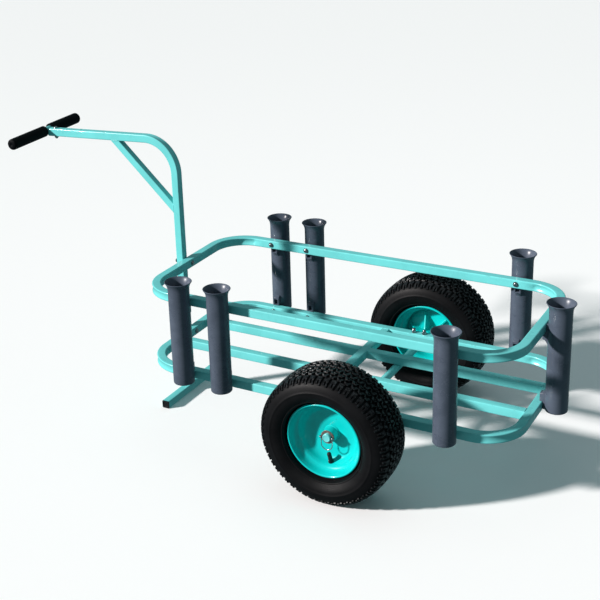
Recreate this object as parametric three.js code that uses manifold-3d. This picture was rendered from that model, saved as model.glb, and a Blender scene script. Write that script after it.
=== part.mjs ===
// Two-wheeled beach fishing cart, a three.js scene in millimetres, +Z up.
//
// Two bent square-tube hoops, one above the other, make the basket. Seven moulded rod holders stand
// outside the hoops and are bolted to both, so that they also space the hoops apart. A square mast
// with a foot bar below and a draw arm above is bolted to the front ends of the hoops. A round axle
// is clamped under the lower hoop by U-bolts and carries two pneumatic wheels on plain sleeves.
//
// Frame: +X points to the rear of the cart (away from the handle), +Y to its right side, +Z up.
// The origin is on the ground, under the middle of the cart's overall box. The shapes below are laid
// out from the middle of the basket, and the outer group moves them to that origin.
import * as THREE from "three";
import { mergeVertices } from "three/addons/utils/BufferGeometryUtils.js";
import Module from "manifold-3d";

// ---- driving dimensions ----------------------------------------------------------------------
const GAP = 0.3; // left between pieces that touch

// basket hoops, seen from above
const HOOP_LENGTH = 1220;
const HOOP_WIDTH = 564;
const HOOP_CORNER = 126; // outside radius of the bends
const RAIL = 28; // square tube of the hoops and the floor
const RAIL_WALL = 2;
const RAIL_EDGE = 2.5; // rounded edge of the square tube
const UPPER_TOP = 490; // top face of the upper hoop
const LOWER_TOP = 244; // top face of the lower hoop and of the floor
const SLAT_Y = 87; // middle of each long floor slat

// mast, draw arm, brace and foot bar
const MAST = 26;
const MAST_WALL = 2;
const MAST_X = -HOOP_LENGTH / 2 - GAP - MAST / 2;
const MAST_BEND = 109; // radius of the bend along the middle of the tube
const ARM_TILT = THREE.MathUtils.degToRad(2.3); // the arm falls this much towards the grips
const ARM_CORNER_Z = 892.6; // where the middle lines of mast and arm would cross
const ARM_END_X = -1132;
const BRACE = 24;
const BRACE_LOW = [-636.6, 663.5]; // x, z of the brace's middle line at the mast
const BRACE_HIGH = [-853.6, 870]; // and at the underside of the arm
const FOOT_HALF = 152.5; // half the foot bar's length over its end caps

// T grip
const TBAR_X = -1146.5;
const TBAR_Z = 875;
const TBAR_ROLL = 1.3; // degrees: the stub has play in the arm, and the far grip stands a little higher
const TBAR_R = 12;
const GRIP_R = 19;
const GRIP_NEAR_END = -187; // outer ends of the two grips, along Y
const GRIP_FAR_END = 166;
const GRIP_BOLT_X = -1108;

// rod holders
const HOLDER_R = 33;
const HOLDER_BORE = 28.5;
const HOLDER_FLARE = 42;
const HOLDER_TOP = 556;
const HOLDER_BOTTOM = 220;
const HOLDER_OFFSET = 37.5; // from the hoop's outer face to the holder's axis
const LUG = 22; // width of the moulded lugs

// axle and wheels
const AXLE_X = 113;
const AXLE_Z = 203.2;
const AXLE_R = 12.5;
const AXLE_HALF = 417;
const WHEEL_Y = 378; // middle plane of each wheel
const TYRE_R = 203.2;
const PIN_Y = 412.8;

const COLOURS = {
  teal: [0x3fcfce, 0.38, 0.25],
  teal_wheel: [0x1fd0c8, 0.32, 0.25],
  holder: [0x3b404a, 0.45, 0.0],
  grip: [0x0c0c10, 0.85, 0.0],
  cap: [0x101014, 0.5, 0.0],
  tyre: [0x121216, 0.85, 0.0],
  steel: [0xb9bcc0, 0.3, 1.0],
  washer: [0x8a6355, 0.55, 0.8],
  sleeve: [0x6f5a4e, 0.5, 0.4],
  wire: [0x5d6166, 0.35, 1.0],
  valve: [0x0b0b0d, 0.6, 0.0],
};

// ---- helpers ---------------------------------------------------------------------------------
const wasm = await Module();
wasm.setup();
const V2 = (p) => new THREE.Vector2(p[0], p[1]);
const M4 = () => new THREE.Matrix4();
const moved = (x, y, z) => M4().makeTranslation(x, y, z);
const turned = (axis, degrees) =>
  M4().makeRotationAxis(
    new THREE.Vector3(...axis),
    THREE.MathUtils.degToRad(degrees),
  );

// A closed three.js geometry as a manifold-3d solid, after an optional placement.
function solid(geometry, ...placements) {
  const g = geometry.index ? geometry.toNonIndexed() : geometry.clone();
  const bare = new THREE.BufferGeometry().setAttribute(
    "position",
    g.getAttribute("position"),
  );
  for (const placement of placements) bare.applyMatrix4(placement);
  const merged = mergeVertices(bare, 1e-4);
  const index = merged.index.array;
  const triangles = [];
  for (let i = 0; i < index.length; i += 3) {
    const [a, b, c] = [index[i], index[i + 1], index[i + 2]];
    if (a !== b && b !== c && c !== a) triangles.push(a, b, c);
  }
  const make = (list) =>
    new wasm.Manifold(
      new wasm.Mesh({
        numProp: 3,
        vertProperties: new Float32Array(merged.attributes.position.array),
        triVerts: new Uint32Array(list),
      }),
    );
  let made = make(triangles);
  if (made.volume() < 0) {
    for (let i = 0; i < triangles.length; i += 3)
      [triangles[i + 1], triangles[i + 2]] = [
        triangles[i + 2],
        triangles[i + 1],
      ];
    made = make(triangles);
  }
  return made;
}

// A solid as a flat-shaded three.js geometry.
function geometryOf(made) {
  const mesh = made.getMesh();
  const positions = new Float32Array(mesh.numVert * 3);
  for (let i = 0; i < mesh.numVert; i++)
    for (let k = 0; k < 3; k++)
      positions[3 * i + k] = mesh.vertProperties[i * mesh.numProp + k];
  const g = new THREE.BufferGeometry();
  g.setAttribute("position", new THREE.BufferAttribute(positions, 3));
  g.setIndex(new THREE.BufferAttribute(new Uint32Array(mesh.triVerts), 1));
  const flat = g.toNonIndexed();
  flat.computeVertexNormals();
  return flat;
}

const joined = (...solids) => solids.reduce((a, b) => a.add(b));
const cut = (base, ...tools) => tools.reduce((a, b) => a.subtract(b), base);

// Outline of a rounded rectangle, anticlockwise from its lower right bend.
function roundedRectangle(length, width, radius, steps) {
  const points = [];
  const corners = [
    [1, -1, -90],
    [1, 1, 0],
    [-1, 1, 90],
    [-1, -1, 180],
  ];
  for (const [sx, sy, start] of corners)
    for (let i = 0; i <= steps; i++) {
      const a = THREE.MathUtils.degToRad(start + (90 * i) / steps);
      points.push([
        sx * (length / 2 - radius) + radius * Math.cos(a),
        sy * (width / 2 - radius) + radius * Math.sin(a),
      ]);
    }
  return points;
}

// A prism: an outline, its holes, a depth along +Z and an optional edge bevel.
function prism(outline, holes, depth, bevel = 0) {
  const shape = new THREE.Shape(outline.map(V2));
  for (const hole of holes) shape.holes.push(new THREE.Path(hole.map(V2)));
  const g = new THREE.ExtrudeGeometry(shape, {
    depth: depth - 2 * bevel,
    bevelEnabled: bevel > 0,
    bevelThickness: bevel,
    bevelSize: bevel,
    bevelOffset: -bevel,
    bevelSegments: 1,
    curveSegments: 8,
  });
  g.translate(0, 0, bevel);
  return g;
}

// A solid of revolution about +Z from [radius, z] points.
const turnedShape = (profile, segments, phase = 0) =>
  new THREE.LatheGeometry(profile.map(V2), segments, phase, 2 * Math.PI).rotateX(
    Math.PI / 2,
  );

// A round bar along an axis ("x", "y" or "z"), centred on a point.
function bar(axis, radius, length, centre, segments = 8) {
  const g = new THREE.CylinderGeometry(radius, radius, length, segments);
  if (axis === "x") g.rotateZ(Math.PI / 2);
  if (axis === "z") g.rotateX(Math.PI / 2);
  return solid(g, moved(...centre));
}

const box = (low, high) =>
  solid(
    new THREE.BoxGeometry(high[0] - low[0], high[1] - low[1], high[2] - low[2]),
    moved(
      (low[0] + high[0]) / 2,
      (low[1] + high[1]) / 2,
      (low[2] + high[2]) / 2,
    ),
  );

// Section of a square tube with its rounded edges, and its square inside.
const tubeSection = (size, edge) => {
  const h = size / 2,
    k = h - edge;
  return [
    [h, -k],
    [h, k],
    [k, h],
    [-k, h],
    [-h, k],
    [-h, -k],
    [-k, -h],
    [k, -h],
  ];
};
const squareOutline = (size) => [
  [size / 2, -size / 2],
  [size / 2, size / 2],
  [-size / 2, size / 2],
  [-size / 2, -size / 2],
];
// A straight square tube with open ends, along +Z from 0.
const squareTube = (size, wall, edge, length) =>
  prism(tubeSection(size, edge), [squareOutline(size - 2 * wall)], length);

// The two offset sides of a flat centre line, as one closed outline.
function stripOutline(line, half) {
  const left = [],
    right = [];
  for (let i = 0; i < line.length; i++) {
    const a = line[Math.max(i - 1, 0)],
      b = line[Math.min(i + 1, line.length - 1)];
    const d = [b[0] - a[0], b[1] - a[1]],
      n = Math.hypot(...d);
    let scale = 1;
    if (i > 0 && i < line.length - 1) {
      const e = [line[i][0] - a[0], line[i][1] - a[1]],
        m = Math.hypot(...e);
      scale = 1 / ((d[0] * e[0] + d[1] * e[1]) / (n * m));
    }
    const nx = (-d[1] / n) * half * scale,
      ny = (d[0] / n) * half * scale;
    left.push([line[i][0] + nx, line[i][1] + ny]);
    right.push([line[i][0] - nx, line[i][1] - ny]);
  }
  return left.concat(right.reverse());
}

// Shapes drawn in X and Z are extruded along Y and centred on the XZ plane.
const upright = (g, depth) => solid(g, turned([1, 0, 0], 90), moved(0, depth / 2, 0));

const root = new THREE.Group();
root.name = "beach_cart";
const body = new THREE.Group();
root.add(body);

function piece(parent, name, colour, made) {
  const [hex, roughness, metalness] = COLOURS[colour];
  const mesh = new THREE.Mesh(
    geometryOf(made),
    new THREE.MeshStandardMaterial({ color: hex, roughness, metalness }),
  );
  mesh.name = name;
  parent.add(mesh);
  return mesh;
}

// ---- where the rod holders stand ---------------------------------------------------------------
// Each holder is at [x, y] and its lugs point along [nx, ny] towards the hoop.
const SIDE_Y = HOOP_WIDTH / 2 + HOLDER_OFFSET;
const HOLDERS = {
  rod_holder_1: { at: [-425, -SIDE_Y], to: [0, 1] },
  rod_holder_2: { at: [-289, -SIDE_Y], to: [0, 1] },
  rod_holder_3: { at: [-425, SIDE_Y], to: [0, -1] },
  rod_holder_4: { at: [-291, SIDE_Y], to: [0, -1] },
  rod_holder_5: { at: [433, SIDE_Y], to: [0, -1] },
  rod_holder_6: { at: [HOOP_LENGTH / 2 + HOLDER_OFFSET, -8], to: [-1, 0] },
  rod_holder_7: { at: [428, -SIDE_Y], to: [0, 1] },
};
const UPPER_BOLT_Z = UPPER_TOP - RAIL / 2;
const LOWER_BOLT_Z = LOWER_TOP - RAIL / 2;
const BOLT_R = 4;
const HOLE_R = 4.6;

// A bar that bores through the rail beside a holder.
function holderHole({ at, to }, z) {
  const mid = HOLDER_OFFSET + RAIL / 2;
  return bar(to[0] ? "x" : "y", HOLE_R, RAIL + 6, [
    at[0] + to[0] * mid,
    at[1] + to[1] * mid,
    z,
  ]);
}

// ---- basket: two hoops and the floor -----------------------------------------------------------
function hoop(top, ...holes) {
  const steps = 6;
  const outline = (inset) =>
    roundedRectangle(
      HOOP_LENGTH - 2 * inset,
      HOOP_WIDTH - 2 * inset,
      HOOP_CORNER - inset,
      steps,
    );
  const tube = solid(
    prism(outline(0), [outline(RAIL)], RAIL, RAIL_EDGE),
    moved(0, 0, top - RAIL),
  );
  const inside = solid(
    prism(
      outline(RAIL_WALL),
      [outline(RAIL - RAIL_WALL)],
      RAIL - 2 * RAIL_WALL,
    ),
    moved(0, 0, top - RAIL + RAIL_WALL),
  );
  return cut(tube, inside, ...holes);
}

const mastHole = (z) =>
  bar("x", HOLE_R, RAIL + MAST + 12, [-HOOP_LENGTH / 2 - 1, 0, z]);
const U_LEG = 18; // from the axle's middle to each leg of a U-bolt
const clampHoles = [-1, 1].flatMap((side) =>
  [-U_LEG, U_LEG].map((dx) =>
    bar("z", HOLE_R, RAIL + 6, [
      AXLE_X + dx,
      side * (HOOP_WIDTH / 2 - RAIL / 2),
      LOWER_TOP - RAIL / 2,
    ]),
  ),
);
piece(
  body,
  "upper_rail",
  "teal",
  hoop(
    UPPER_TOP,
    ...Object.values(HOLDERS).map((h) => holderHole(h, UPPER_BOLT_Z)),
    mastHole(UPPER_BOLT_Z),
  ),
);
piece(
  body,
  "lower_rail",
  "teal",
  hoop(
    LOWER_TOP,
    ...Object.values(HOLDERS).map((h) => holderHole(h, LOWER_BOLT_Z)),
    mastHole(LOWER_BOLT_Z),
    ...clampHoles,
  ),
);

// One cross member joins the long sides, and two slats in line run from it to each end.
const FLOOR_Z = LOWER_TOP - RAIL / 2;
const innerY = HOOP_WIDTH / 2 - RAIL - GAP;
const innerX = HOOP_LENGTH / 2 - RAIL - GAP;
piece(
  body,
  "cross_member",
  "teal",
  solid(
    squareTube(RAIL, RAIL_WALL, RAIL_EDGE, 2 * innerY),
    turned([1, 0, 0], 90),
    moved(0, innerY, FLOOR_Z),
  ),
);
const slatLength = innerX - RAIL / 2 - GAP;
for (const [name, y, x0] of [
  ["slat_near_front", -SLAT_Y, -innerX],
  ["slat_near_rear", -SLAT_Y, RAIL / 2 + GAP],
  ["slat_far_front", SLAT_Y, -innerX],
  ["slat_far_rear", SLAT_Y, RAIL / 2 + GAP],
])
  piece(
    body,
    name,
    "teal",
    solid(
      squareTube(RAIL, RAIL_WALL, RAIL_EDGE, slatLength),
      turned([0, 1, 0], 90),
      moved(x0, y, FLOOR_Z),
    ),
  );

// ---- mast and draw arm: one bent tube ----------------------------------------------------------
const armDirection = [-Math.cos(ARM_TILT), -Math.sin(ARM_TILT)]; // towards the grips, in X and Z
function mastLine(startZ, endX) {
  const turn = Math.PI / 2 + ARM_TILT;
  const tangent = MAST_BEND * Math.tan(turn / 2);
  const centre = [MAST_X - MAST_BEND, ARM_CORNER_Z - tangent];
  const line = [[MAST_X, startZ]];
  const steps = 9;
  for (let i = 0; i <= steps; i++) {
    const a = (turn * i) / steps;
    line.push([
      centre[0] + MAST_BEND * Math.cos(a),
      centre[1] + MAST_BEND * Math.sin(a),
    ]);
  }
  const reach = (endX - MAST_X) / armDirection[0];
  line.push([
    MAST_X + armDirection[0] * reach,
    ARM_CORNER_Z + armDirection[1] * reach,
  ]);
  return line;
}
const armAt = (x) =>
  ARM_CORNER_Z + ((x - MAST_X) * armDirection[1]) / armDirection[0];
// A placement whose X runs along the arm towards the mast and whose origin is on the arm's middle line.
const onArm = (x, z = armAt(x)) =>
  moved(x, 0, z).multiply(turned([0, 1, 0], -THREE.MathUtils.radToDeg(ARM_TILT)));

const mastOutside = upright(
  prism(
    stripOutline(mastLine(MAST + GAP, ARM_END_X), MAST / 2),
    [],
    MAST,
    RAIL_EDGE,
  ),
  MAST,
);
const mastInside = upright(
  prism(
    stripOutline(
      mastLine(MAST + GAP - 6, ARM_END_X - 6),
      MAST / 2 - MAST_WALL,
    ),
    [],
    MAST - 2 * MAST_WALL,
  ),
  MAST - 2 * MAST_WALL,
);
const gripBoltHole = solid(
  new THREE.CylinderGeometry(HOLE_R, HOLE_R, 60, 8).rotateX(Math.PI / 2),
  onArm(GRIP_BOLT_X),
);
piece(
  body,
  "mast",
  "teal",
  cut(
    mastOutside,
    mastInside,
    mastHole(UPPER_BOLT_Z),
    mastHole(LOWER_BOLT_Z),
    gripBoltHole,
  ),
);

// Brace: its ends are cut to the mast's front face and to the arm's underside.
function braceOutline(half, extra) {
  const [a, b] = [BRACE_LOW, BRACE_HIGH];
  const n = Math.hypot(b[0] - a[0], b[1] - a[1]);
  const d = [(b[0] - a[0]) / n, (b[1] - a[1]) / n];
  const normal = [-d[1], d[0]];
  const side = (k) => {
    const p = [a[0] + normal[0] * half * k, a[1] + normal[1] * half * k];
    const t0 = (a[0] + extra - p[0]) / d[0]; // meets the upright line at the mast
    const slope = armDirection[1] / armDirection[0];
    // meets the line under the arm
    const t1 =
      (b[1] + extra + slope * (p[0] - b[0]) - p[1]) / (d[1] - slope * d[0]);
    return [
      [p[0] + d[0] * t0, p[1] + d[1] * t0],
      [p[0] + d[0] * t1, p[1] + d[1] * t1],
    ];
  };
  const [p0, p1] = side(1),
    [q0, q1] = side(-1);
  return [p0, p1, q1, q0];
}
piece(
  body,
  "brace",
  "teal",
  cut(
    upright(prism(braceOutline(BRACE / 2, 0), [], BRACE, 2.2), BRACE),
    upright(
      prism(braceOutline(BRACE / 2 - MAST_WALL, 6), [], BRACE - 2 * MAST_WALL),
      BRACE - 2 * MAST_WALL,
    ),
  ),
);

// Foot bar under the mast, with a moulded cap in each end.
const CAP_PLATE = 3;
const footTube = FOOT_HALF - CAP_PLATE - GAP;
piece(
  body,
  "foot_bar",
  "teal",
  solid(
    squareTube(MAST, MAST_WALL, RAIL_EDGE, 2 * footTube),
    turned([1, 0, 0], 90),
    moved(MAST_X, footTube, MAST / 2),
  ),
);
for (const side of [-1, 1]) {
  const plate = solid(
    prism(tubeSection(MAST, RAIL_EDGE), [], CAP_PLATE),
    turned([1, 0, 0], 90),
    moved(
      MAST_X,
      side < 0 ? -FOOT_HALF + CAP_PLATE : FOOT_HALF,
      MAST / 2,
    ),
  );
  const plugSize = MAST - 2 * MAST_WALL - 2 * GAP;
  const y0 = side * (FOOT_HALF - CAP_PLATE / 2),
    y1 = side * (FOOT_HALF - CAP_PLATE - 12);
  const plug = box(
    [MAST_X - plugSize / 2, Math.min(y0, y1), MAST / 2 - plugSize / 2],
    [MAST_X + plugSize / 2, Math.max(y0, y1), MAST / 2 + plugSize / 2],
  );
  const face = side * (FOOT_HALF - 0.6),
    out = side * (FOOT_HALF + 2);
  const recess = box(
    [MAST_X - 7, Math.min(face, out), MAST / 2 - 7],
    [MAST_X + 7, Math.max(face, out), MAST / 2 + 7],
  );
  piece(
    body,
    side < 0 ? "foot_cap_near" : "foot_cap_far",
    "cap",
    cut(joined(plate, plug), recess),
  );
}

// ---- T grip ------------------------------------------------------------------------------------
// A round bar across the end of a square stub that slides into the arm.
const STUB = 20;
const handle = new THREE.Group();
handle.applyMatrix4(onArm(TBAR_X, TBAR_Z).multiply(turned([1, 0, 0], TBAR_ROLL)));
body.add(handle);
const gripBoltAt = (GRIP_BOLT_X - TBAR_X) / Math.cos(ARM_TILT);
const stubDrop = armAt(TBAR_X) - TBAR_Z; // the stub follows the arm's middle line
const tbarLength = GRIP_FAR_END - GRIP_NEAR_END - 16;
const tbarMiddle = (GRIP_FAR_END + GRIP_NEAR_END) / 2;
piece(
  handle,
  "grip_bar",
  "teal",
  cut(
    joined(
      bar("y", TBAR_R, tbarLength, [0, tbarMiddle, 0], 16),
      box(
        [6, -STUB / 2, stubDrop - STUB / 2],
        [84, STUB / 2, stubDrop + STUB / 2],
      ),
    ),
    bar("y", TBAR_R - 2.5, tbarLength + 10, [0, tbarMiddle, 0], 12),
    bar("z", HOLE_R, 60, [gripBoltAt, 0, 0]),
  ),
);
function grip(from, to) {
  // profile in [radius, distance from the inner end]
  const length = Math.abs(to - from);
  const profile = [
    [TBAR_R + GAP, 0],
    [GRIP_R, 0],
    [GRIP_R, length - 7],
    [GRIP_R - 2, length - 2.5],
    [GRIP_R - 6, length],
    [0, length],
    [0, length - 6],
    [TBAR_R + GAP, length - 6],
    [TBAR_R + GAP, 0],
  ];
  const sign = Math.sign(to - from);
  return solid(
    turnedShape(profile, 16),
    turned([1, 0, 0], sign < 0 ? 90 : -90),
    moved(0, from, 0),
  );
}
const gripStart = MAST / 2 + 1;
piece(handle, "grip_near", "grip", grip(-gripStart, GRIP_NEAR_END));
piece(handle, "grip_far", "grip", grip(gripStart, GRIP_FAR_END));

// ---- threaded fasteners ------------------------------------------------------------------------
// A round-head bolt along +Z: the head stands on z = 0 and the shank goes down to -length.
// nutAt is the depth of the near face of a nut, where it has one.
function bolt(length, headRadius, headHeight, nutAt = null) {
  const profile = [
    [0, -length],
    [BOLT_R, -length],
    [BOLT_R, 0],
    [headRadius, 0],
    [headRadius, 1.6],
    [headRadius * 0.66, headHeight * 0.75],
    [0, headHeight],
  ];
  const shank = solid(turnedShape(profile, 8));
  if (nutAt === null) return shank;
  const nut = solid(
    new THREE.CylinderGeometry(7.5, 7.5, 6.5, 6).rotateX(Math.PI / 2),
    moved(0, 0, -nutAt - 3.25),
  );
  return joined(shank, nut);
}
piece(
  handle,
  "grip_bolt",
  "steel",
  solid(
    geometryOf(bolt(36.5, 7, 6, MAST + 2 * GAP)),
    moved(gripBoltAt, 0, stubDrop + MAST / 2 + GAP),
  ),
);
for (const [name, z] of [
  ["mast_bolt_upper", UPPER_BOLT_Z],
  ["mast_bolt_lower", LOWER_BOLT_Z],
])
  piece(
    body,
    name,
    "steel",
    solid(
      geometryOf(bolt(RAIL + MAST + 12, 8.5, 6.5, RAIL + MAST + 3 * GAP)),
      turned([0, 1, 0], 90),
      moved(-HOOP_LENGTH / 2 + RAIL + GAP, 0, z),
    ),
  );

// ---- rod holders -------------------------------------------------------------------------------
// Local frame: the tube stands on +Z and its lugs point along +X towards the hoop.
function rodHolder() {
  const tube = solid(
    turnedShape(
      [
        [0, HOLDER_BOTTOM],
        [HOLDER_R, HOLDER_BOTTOM],
        [HOLDER_R, HOLDER_TOP - 26],
        [HOLDER_R + 1.6, HOLDER_TOP - 14],
        [HOLDER_R + 5, HOLDER_TOP - 6.5],
        [HOLDER_FLARE, HOLDER_TOP - 1.8],
        [HOLDER_FLARE, HOLDER_TOP],
        [0, HOLDER_TOP],
      ],
      16,
    ),
  );
  const bore = solid(
    turnedShape(
      [
        [0, HOLDER_BOTTOM + 5],
        [HOLDER_BORE, HOLDER_BOTTOM + 5],
        [HOLDER_BORE, HOLDER_TOP - 26],
        [HOLDER_BORE + 2, HOLDER_TOP - 14],
        [HOLDER_BORE + 6, HOLDER_TOP - 6.5],
        [HOLDER_FLARE, HOLDER_TOP + 2],
        [0, HOLDER_TOP + 2],
      ],
      16,
    ),
  );
  const drain = bar("z", 8, 20, [0, 0, HOLDER_BOTTOM + 3], 8);
  const face = HOLDER_OFFSET - GAP; // pad against the hoop's outer face
  const reach = HOLDER_OFFSET + 9; // lug under, or over, the hoop
  const root = HOLDER_R - 6;
  const bracket = (points) =>
    solid(prism(points, [], LUG), turned([1, 0, 0], 90), moved(0, LUG / 2, 0));
  const upperFace = UPPER_TOP - RAIL - GAP,
    lowerFace = LOWER_TOP + GAP;
  const upper = bracket([
    [root, upperFace - 23],
    [reach, upperFace - 23],
    [reach, upperFace],
    [face, upperFace],
    [face, UPPER_TOP - 2],
    [root, UPPER_TOP - 2],
  ]);
  const lower = bracket([
    [root, lowerFace + 26],
    [reach, lowerFace + 26],
    [reach, lowerFace],
    [face, lowerFace],
    [face, HOLDER_BOTTOM],
    [root, HOLDER_BOTTOM],
  ]);
  const pocket = (z0, z1) => box([reach - 13, -6, z0], [reach + 3, 6, z1]);
  const blind = (z) =>
    bar("x", HOLE_R, 14, [HOLDER_BORE + 0.9 + 7, 0, z]);
  return cut(
    joined(tube, upper, lower),
    bore,
    drain,
    pocket(upperFace - 18, upperFace - 4),
    pocket(lowerFace + 6, lowerFace + 21),
    blind(UPPER_BOLT_Z),
    blind(LOWER_BOLT_Z),
  );
}
const holderGeometry = geometryOf(rodHolder());
// The bolt's head bears on the hoop's inner face and its end stops inside the holder's wall.
const holderBolt = geometryOf(
  bolt(HOLDER_OFFSET + RAIL + GAP - HOLDER_BORE - 1.8, 8.5, 6.5),
);
for (const [name, { at, to }] of Object.entries(HOLDERS)) {
  const stand = new THREE.Group();
  stand.position.set(at[0], at[1], 0);
  stand.rotation.z = Math.atan2(to[1], to[0]);
  body.add(stand);
  piece(stand, name, "holder", solid(holderGeometry));
  const number = name.slice(-1);
  for (const [level, z] of [
    ["upper", UPPER_BOLT_Z],
    ["lower", LOWER_BOLT_Z],
  ])
    piece(
      stand,
      `holder_bolt_${number}_${level}`,
      "steel",
      solid(
        holderBolt,
        turned([0, 1, 0], 90),
        moved(HOLDER_OFFSET + RAIL + GAP, 0, z),
      ),
    );
}

// ---- axle --------------------------------------------------------------------------------------
const AXLE_SIDES = 16;
const collar = [321, 327]; // welded stop collars that keep the wheels off the frame
const halfAxle = [
  [AXLE_R, collar[0]],
  [19, collar[0]],
  [19, collar[1]],
  [AXLE_R, collar[1]],
  [AXLE_R, AXLE_HALF - 1.5],
  [AXLE_R - 1.5, AXLE_HALF],
  [0, AXLE_HALF],
];
const axleProfile = halfAxle
  .map(([r, s]) => [r, -s])
  .reverse()
  .concat(halfAxle);
piece(
  body,
  "axle",
  "teal",
  cut(
    solid(
      turnedShape(axleProfile, AXLE_SIDES),
      turned([1, 0, 0], 90),
      moved(AXLE_X, 0, AXLE_Z),
    ),
    bar("x", 3, 40, [AXLE_X, -PIN_Y, AXLE_Z]),
    bar("x", 3, 40, [AXLE_X, PIN_Y, AXLE_Z]),
  ),
);

// A half ring of round wire in the XZ plane, open upwards, with straight legs to a height.
class HalfRing extends THREE.Curve {
  constructor(radius) {
    super();
    this.radius = radius;
  }
  getPoint(t, target = new THREE.Vector3()) {
    const a = Math.PI * (1 + t);
    return target.set(this.radius * Math.cos(a), 0, this.radius * Math.sin(a));
  }
}
function wireU(radius, wire, legTop, sides, steps) {
  const section = new THREE.Shape(
    Array.from({ length: sides }, (_, i) => {
      const a = (2 * Math.PI * (i + 0.5)) / sides;
      return new THREE.Vector2(wire * Math.cos(a), wire * Math.sin(a));
    }),
  );
  const bend = solid(
    new THREE.ExtrudeGeometry(section, {
      steps,
      extrudePath: new HalfRing(radius),
      bevelEnabled: false,
    }),
  );
  const leg = (x) =>
    solid(
      new THREE.CylinderGeometry(wire, wire, legTop + 0.4, sides).rotateX(
        Math.PI / 2,
      ),
      moved(x, 0, legTop / 2 - 0.2),
    );
  return joined(bend, leg(-radius), leg(radius));
}
const legTop = LOWER_TOP + 17 - AXLE_Z;
for (const side of [-1, 1]) {
  const nut = (dx) =>
    solid(
      new THREE.CylinderGeometry(7.5, 7.5, 7, 6).rotateX(Math.PI / 2),
      moved(dx, 0, LOWER_TOP + GAP + 3.5 - AXLE_Z),
    );
  piece(
    body,
    side < 0 ? "u_bolt_near" : "u_bolt_far",
    "steel",
    solid(
      geometryOf(
        joined(wireU(U_LEG, BOLT_R, legTop, 6, 6), nut(-U_LEG), nut(U_LEG)),
      ),
      moved(AXLE_X, side * (HOOP_WIDTH / 2 - RAIL / 2), AXLE_Z),
    ),
  );
}

// ---- wheels ------------------------------------------------------------------------------------
// Local frame of a wheel: +Z is the axle, pointing away from the cart.
const WHEEL_SIDES = 24;
const FLAT = 1 / Math.cos(Math.PI / WHEEL_SIDES);
const tyreOuter = [
  [101.4, 38],
  [101.4, 48.6],
  [114.5, 53],
  [117, 65],
  [134, 80],
  [156, 84],
  [180, 80],
  [197, 68],
  [TYRE_R * FLAT, 48],
];
const tyreInner = [
  [190, 56],
  [170, 74],
  [128, 63],
  [107, 40],
];
const mirroredBand = (half) =>
  half
    .concat(
      half
        .slice()
        .reverse()
        .map(([r, s]) => [r, -s]),
    );
function closed(points) {
  return points.concat([points[0]]);
}
// outer surface from one bead over the tread to the other, then back through the inside
const tyreProfile = closed(
  mirroredBand(tyreOuter).concat(
    mirroredBand(tyreInner.slice().reverse()).reverse(),
  ),
);
const rimProfile = closed([
  [114, -57],
  [113.6, -53.6],
  [101, -49],
  [101, -38],
  [90, -28],
  [90, 28],
  [101, 38],
  [101, 49],
  [113.6, 53.6],
  [114, 57],
  [110, 57],
  [97.5, 51.5],
  [97, 39.8],
  [86, 29.8],
  [86, 0],
  [21.6, 0],
  [21.6, -4],
  [86, -4],
  [86, -29.8],
  [97, -39.8],
  [97.5, -51.5],
  [110, -57],
]);
const HUB_OUT = 27.5,
  HUB_IN = -50;
const wheelTurn = (side) => turned([1, 0, 0], side < 0 ? 90 : -90);
const atAngle = (degrees) => turned([0, 0, 1], degrees);
const HALF_STEP = 180 / WHEEL_SIDES; // puts a flat of the tread on the ground

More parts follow.
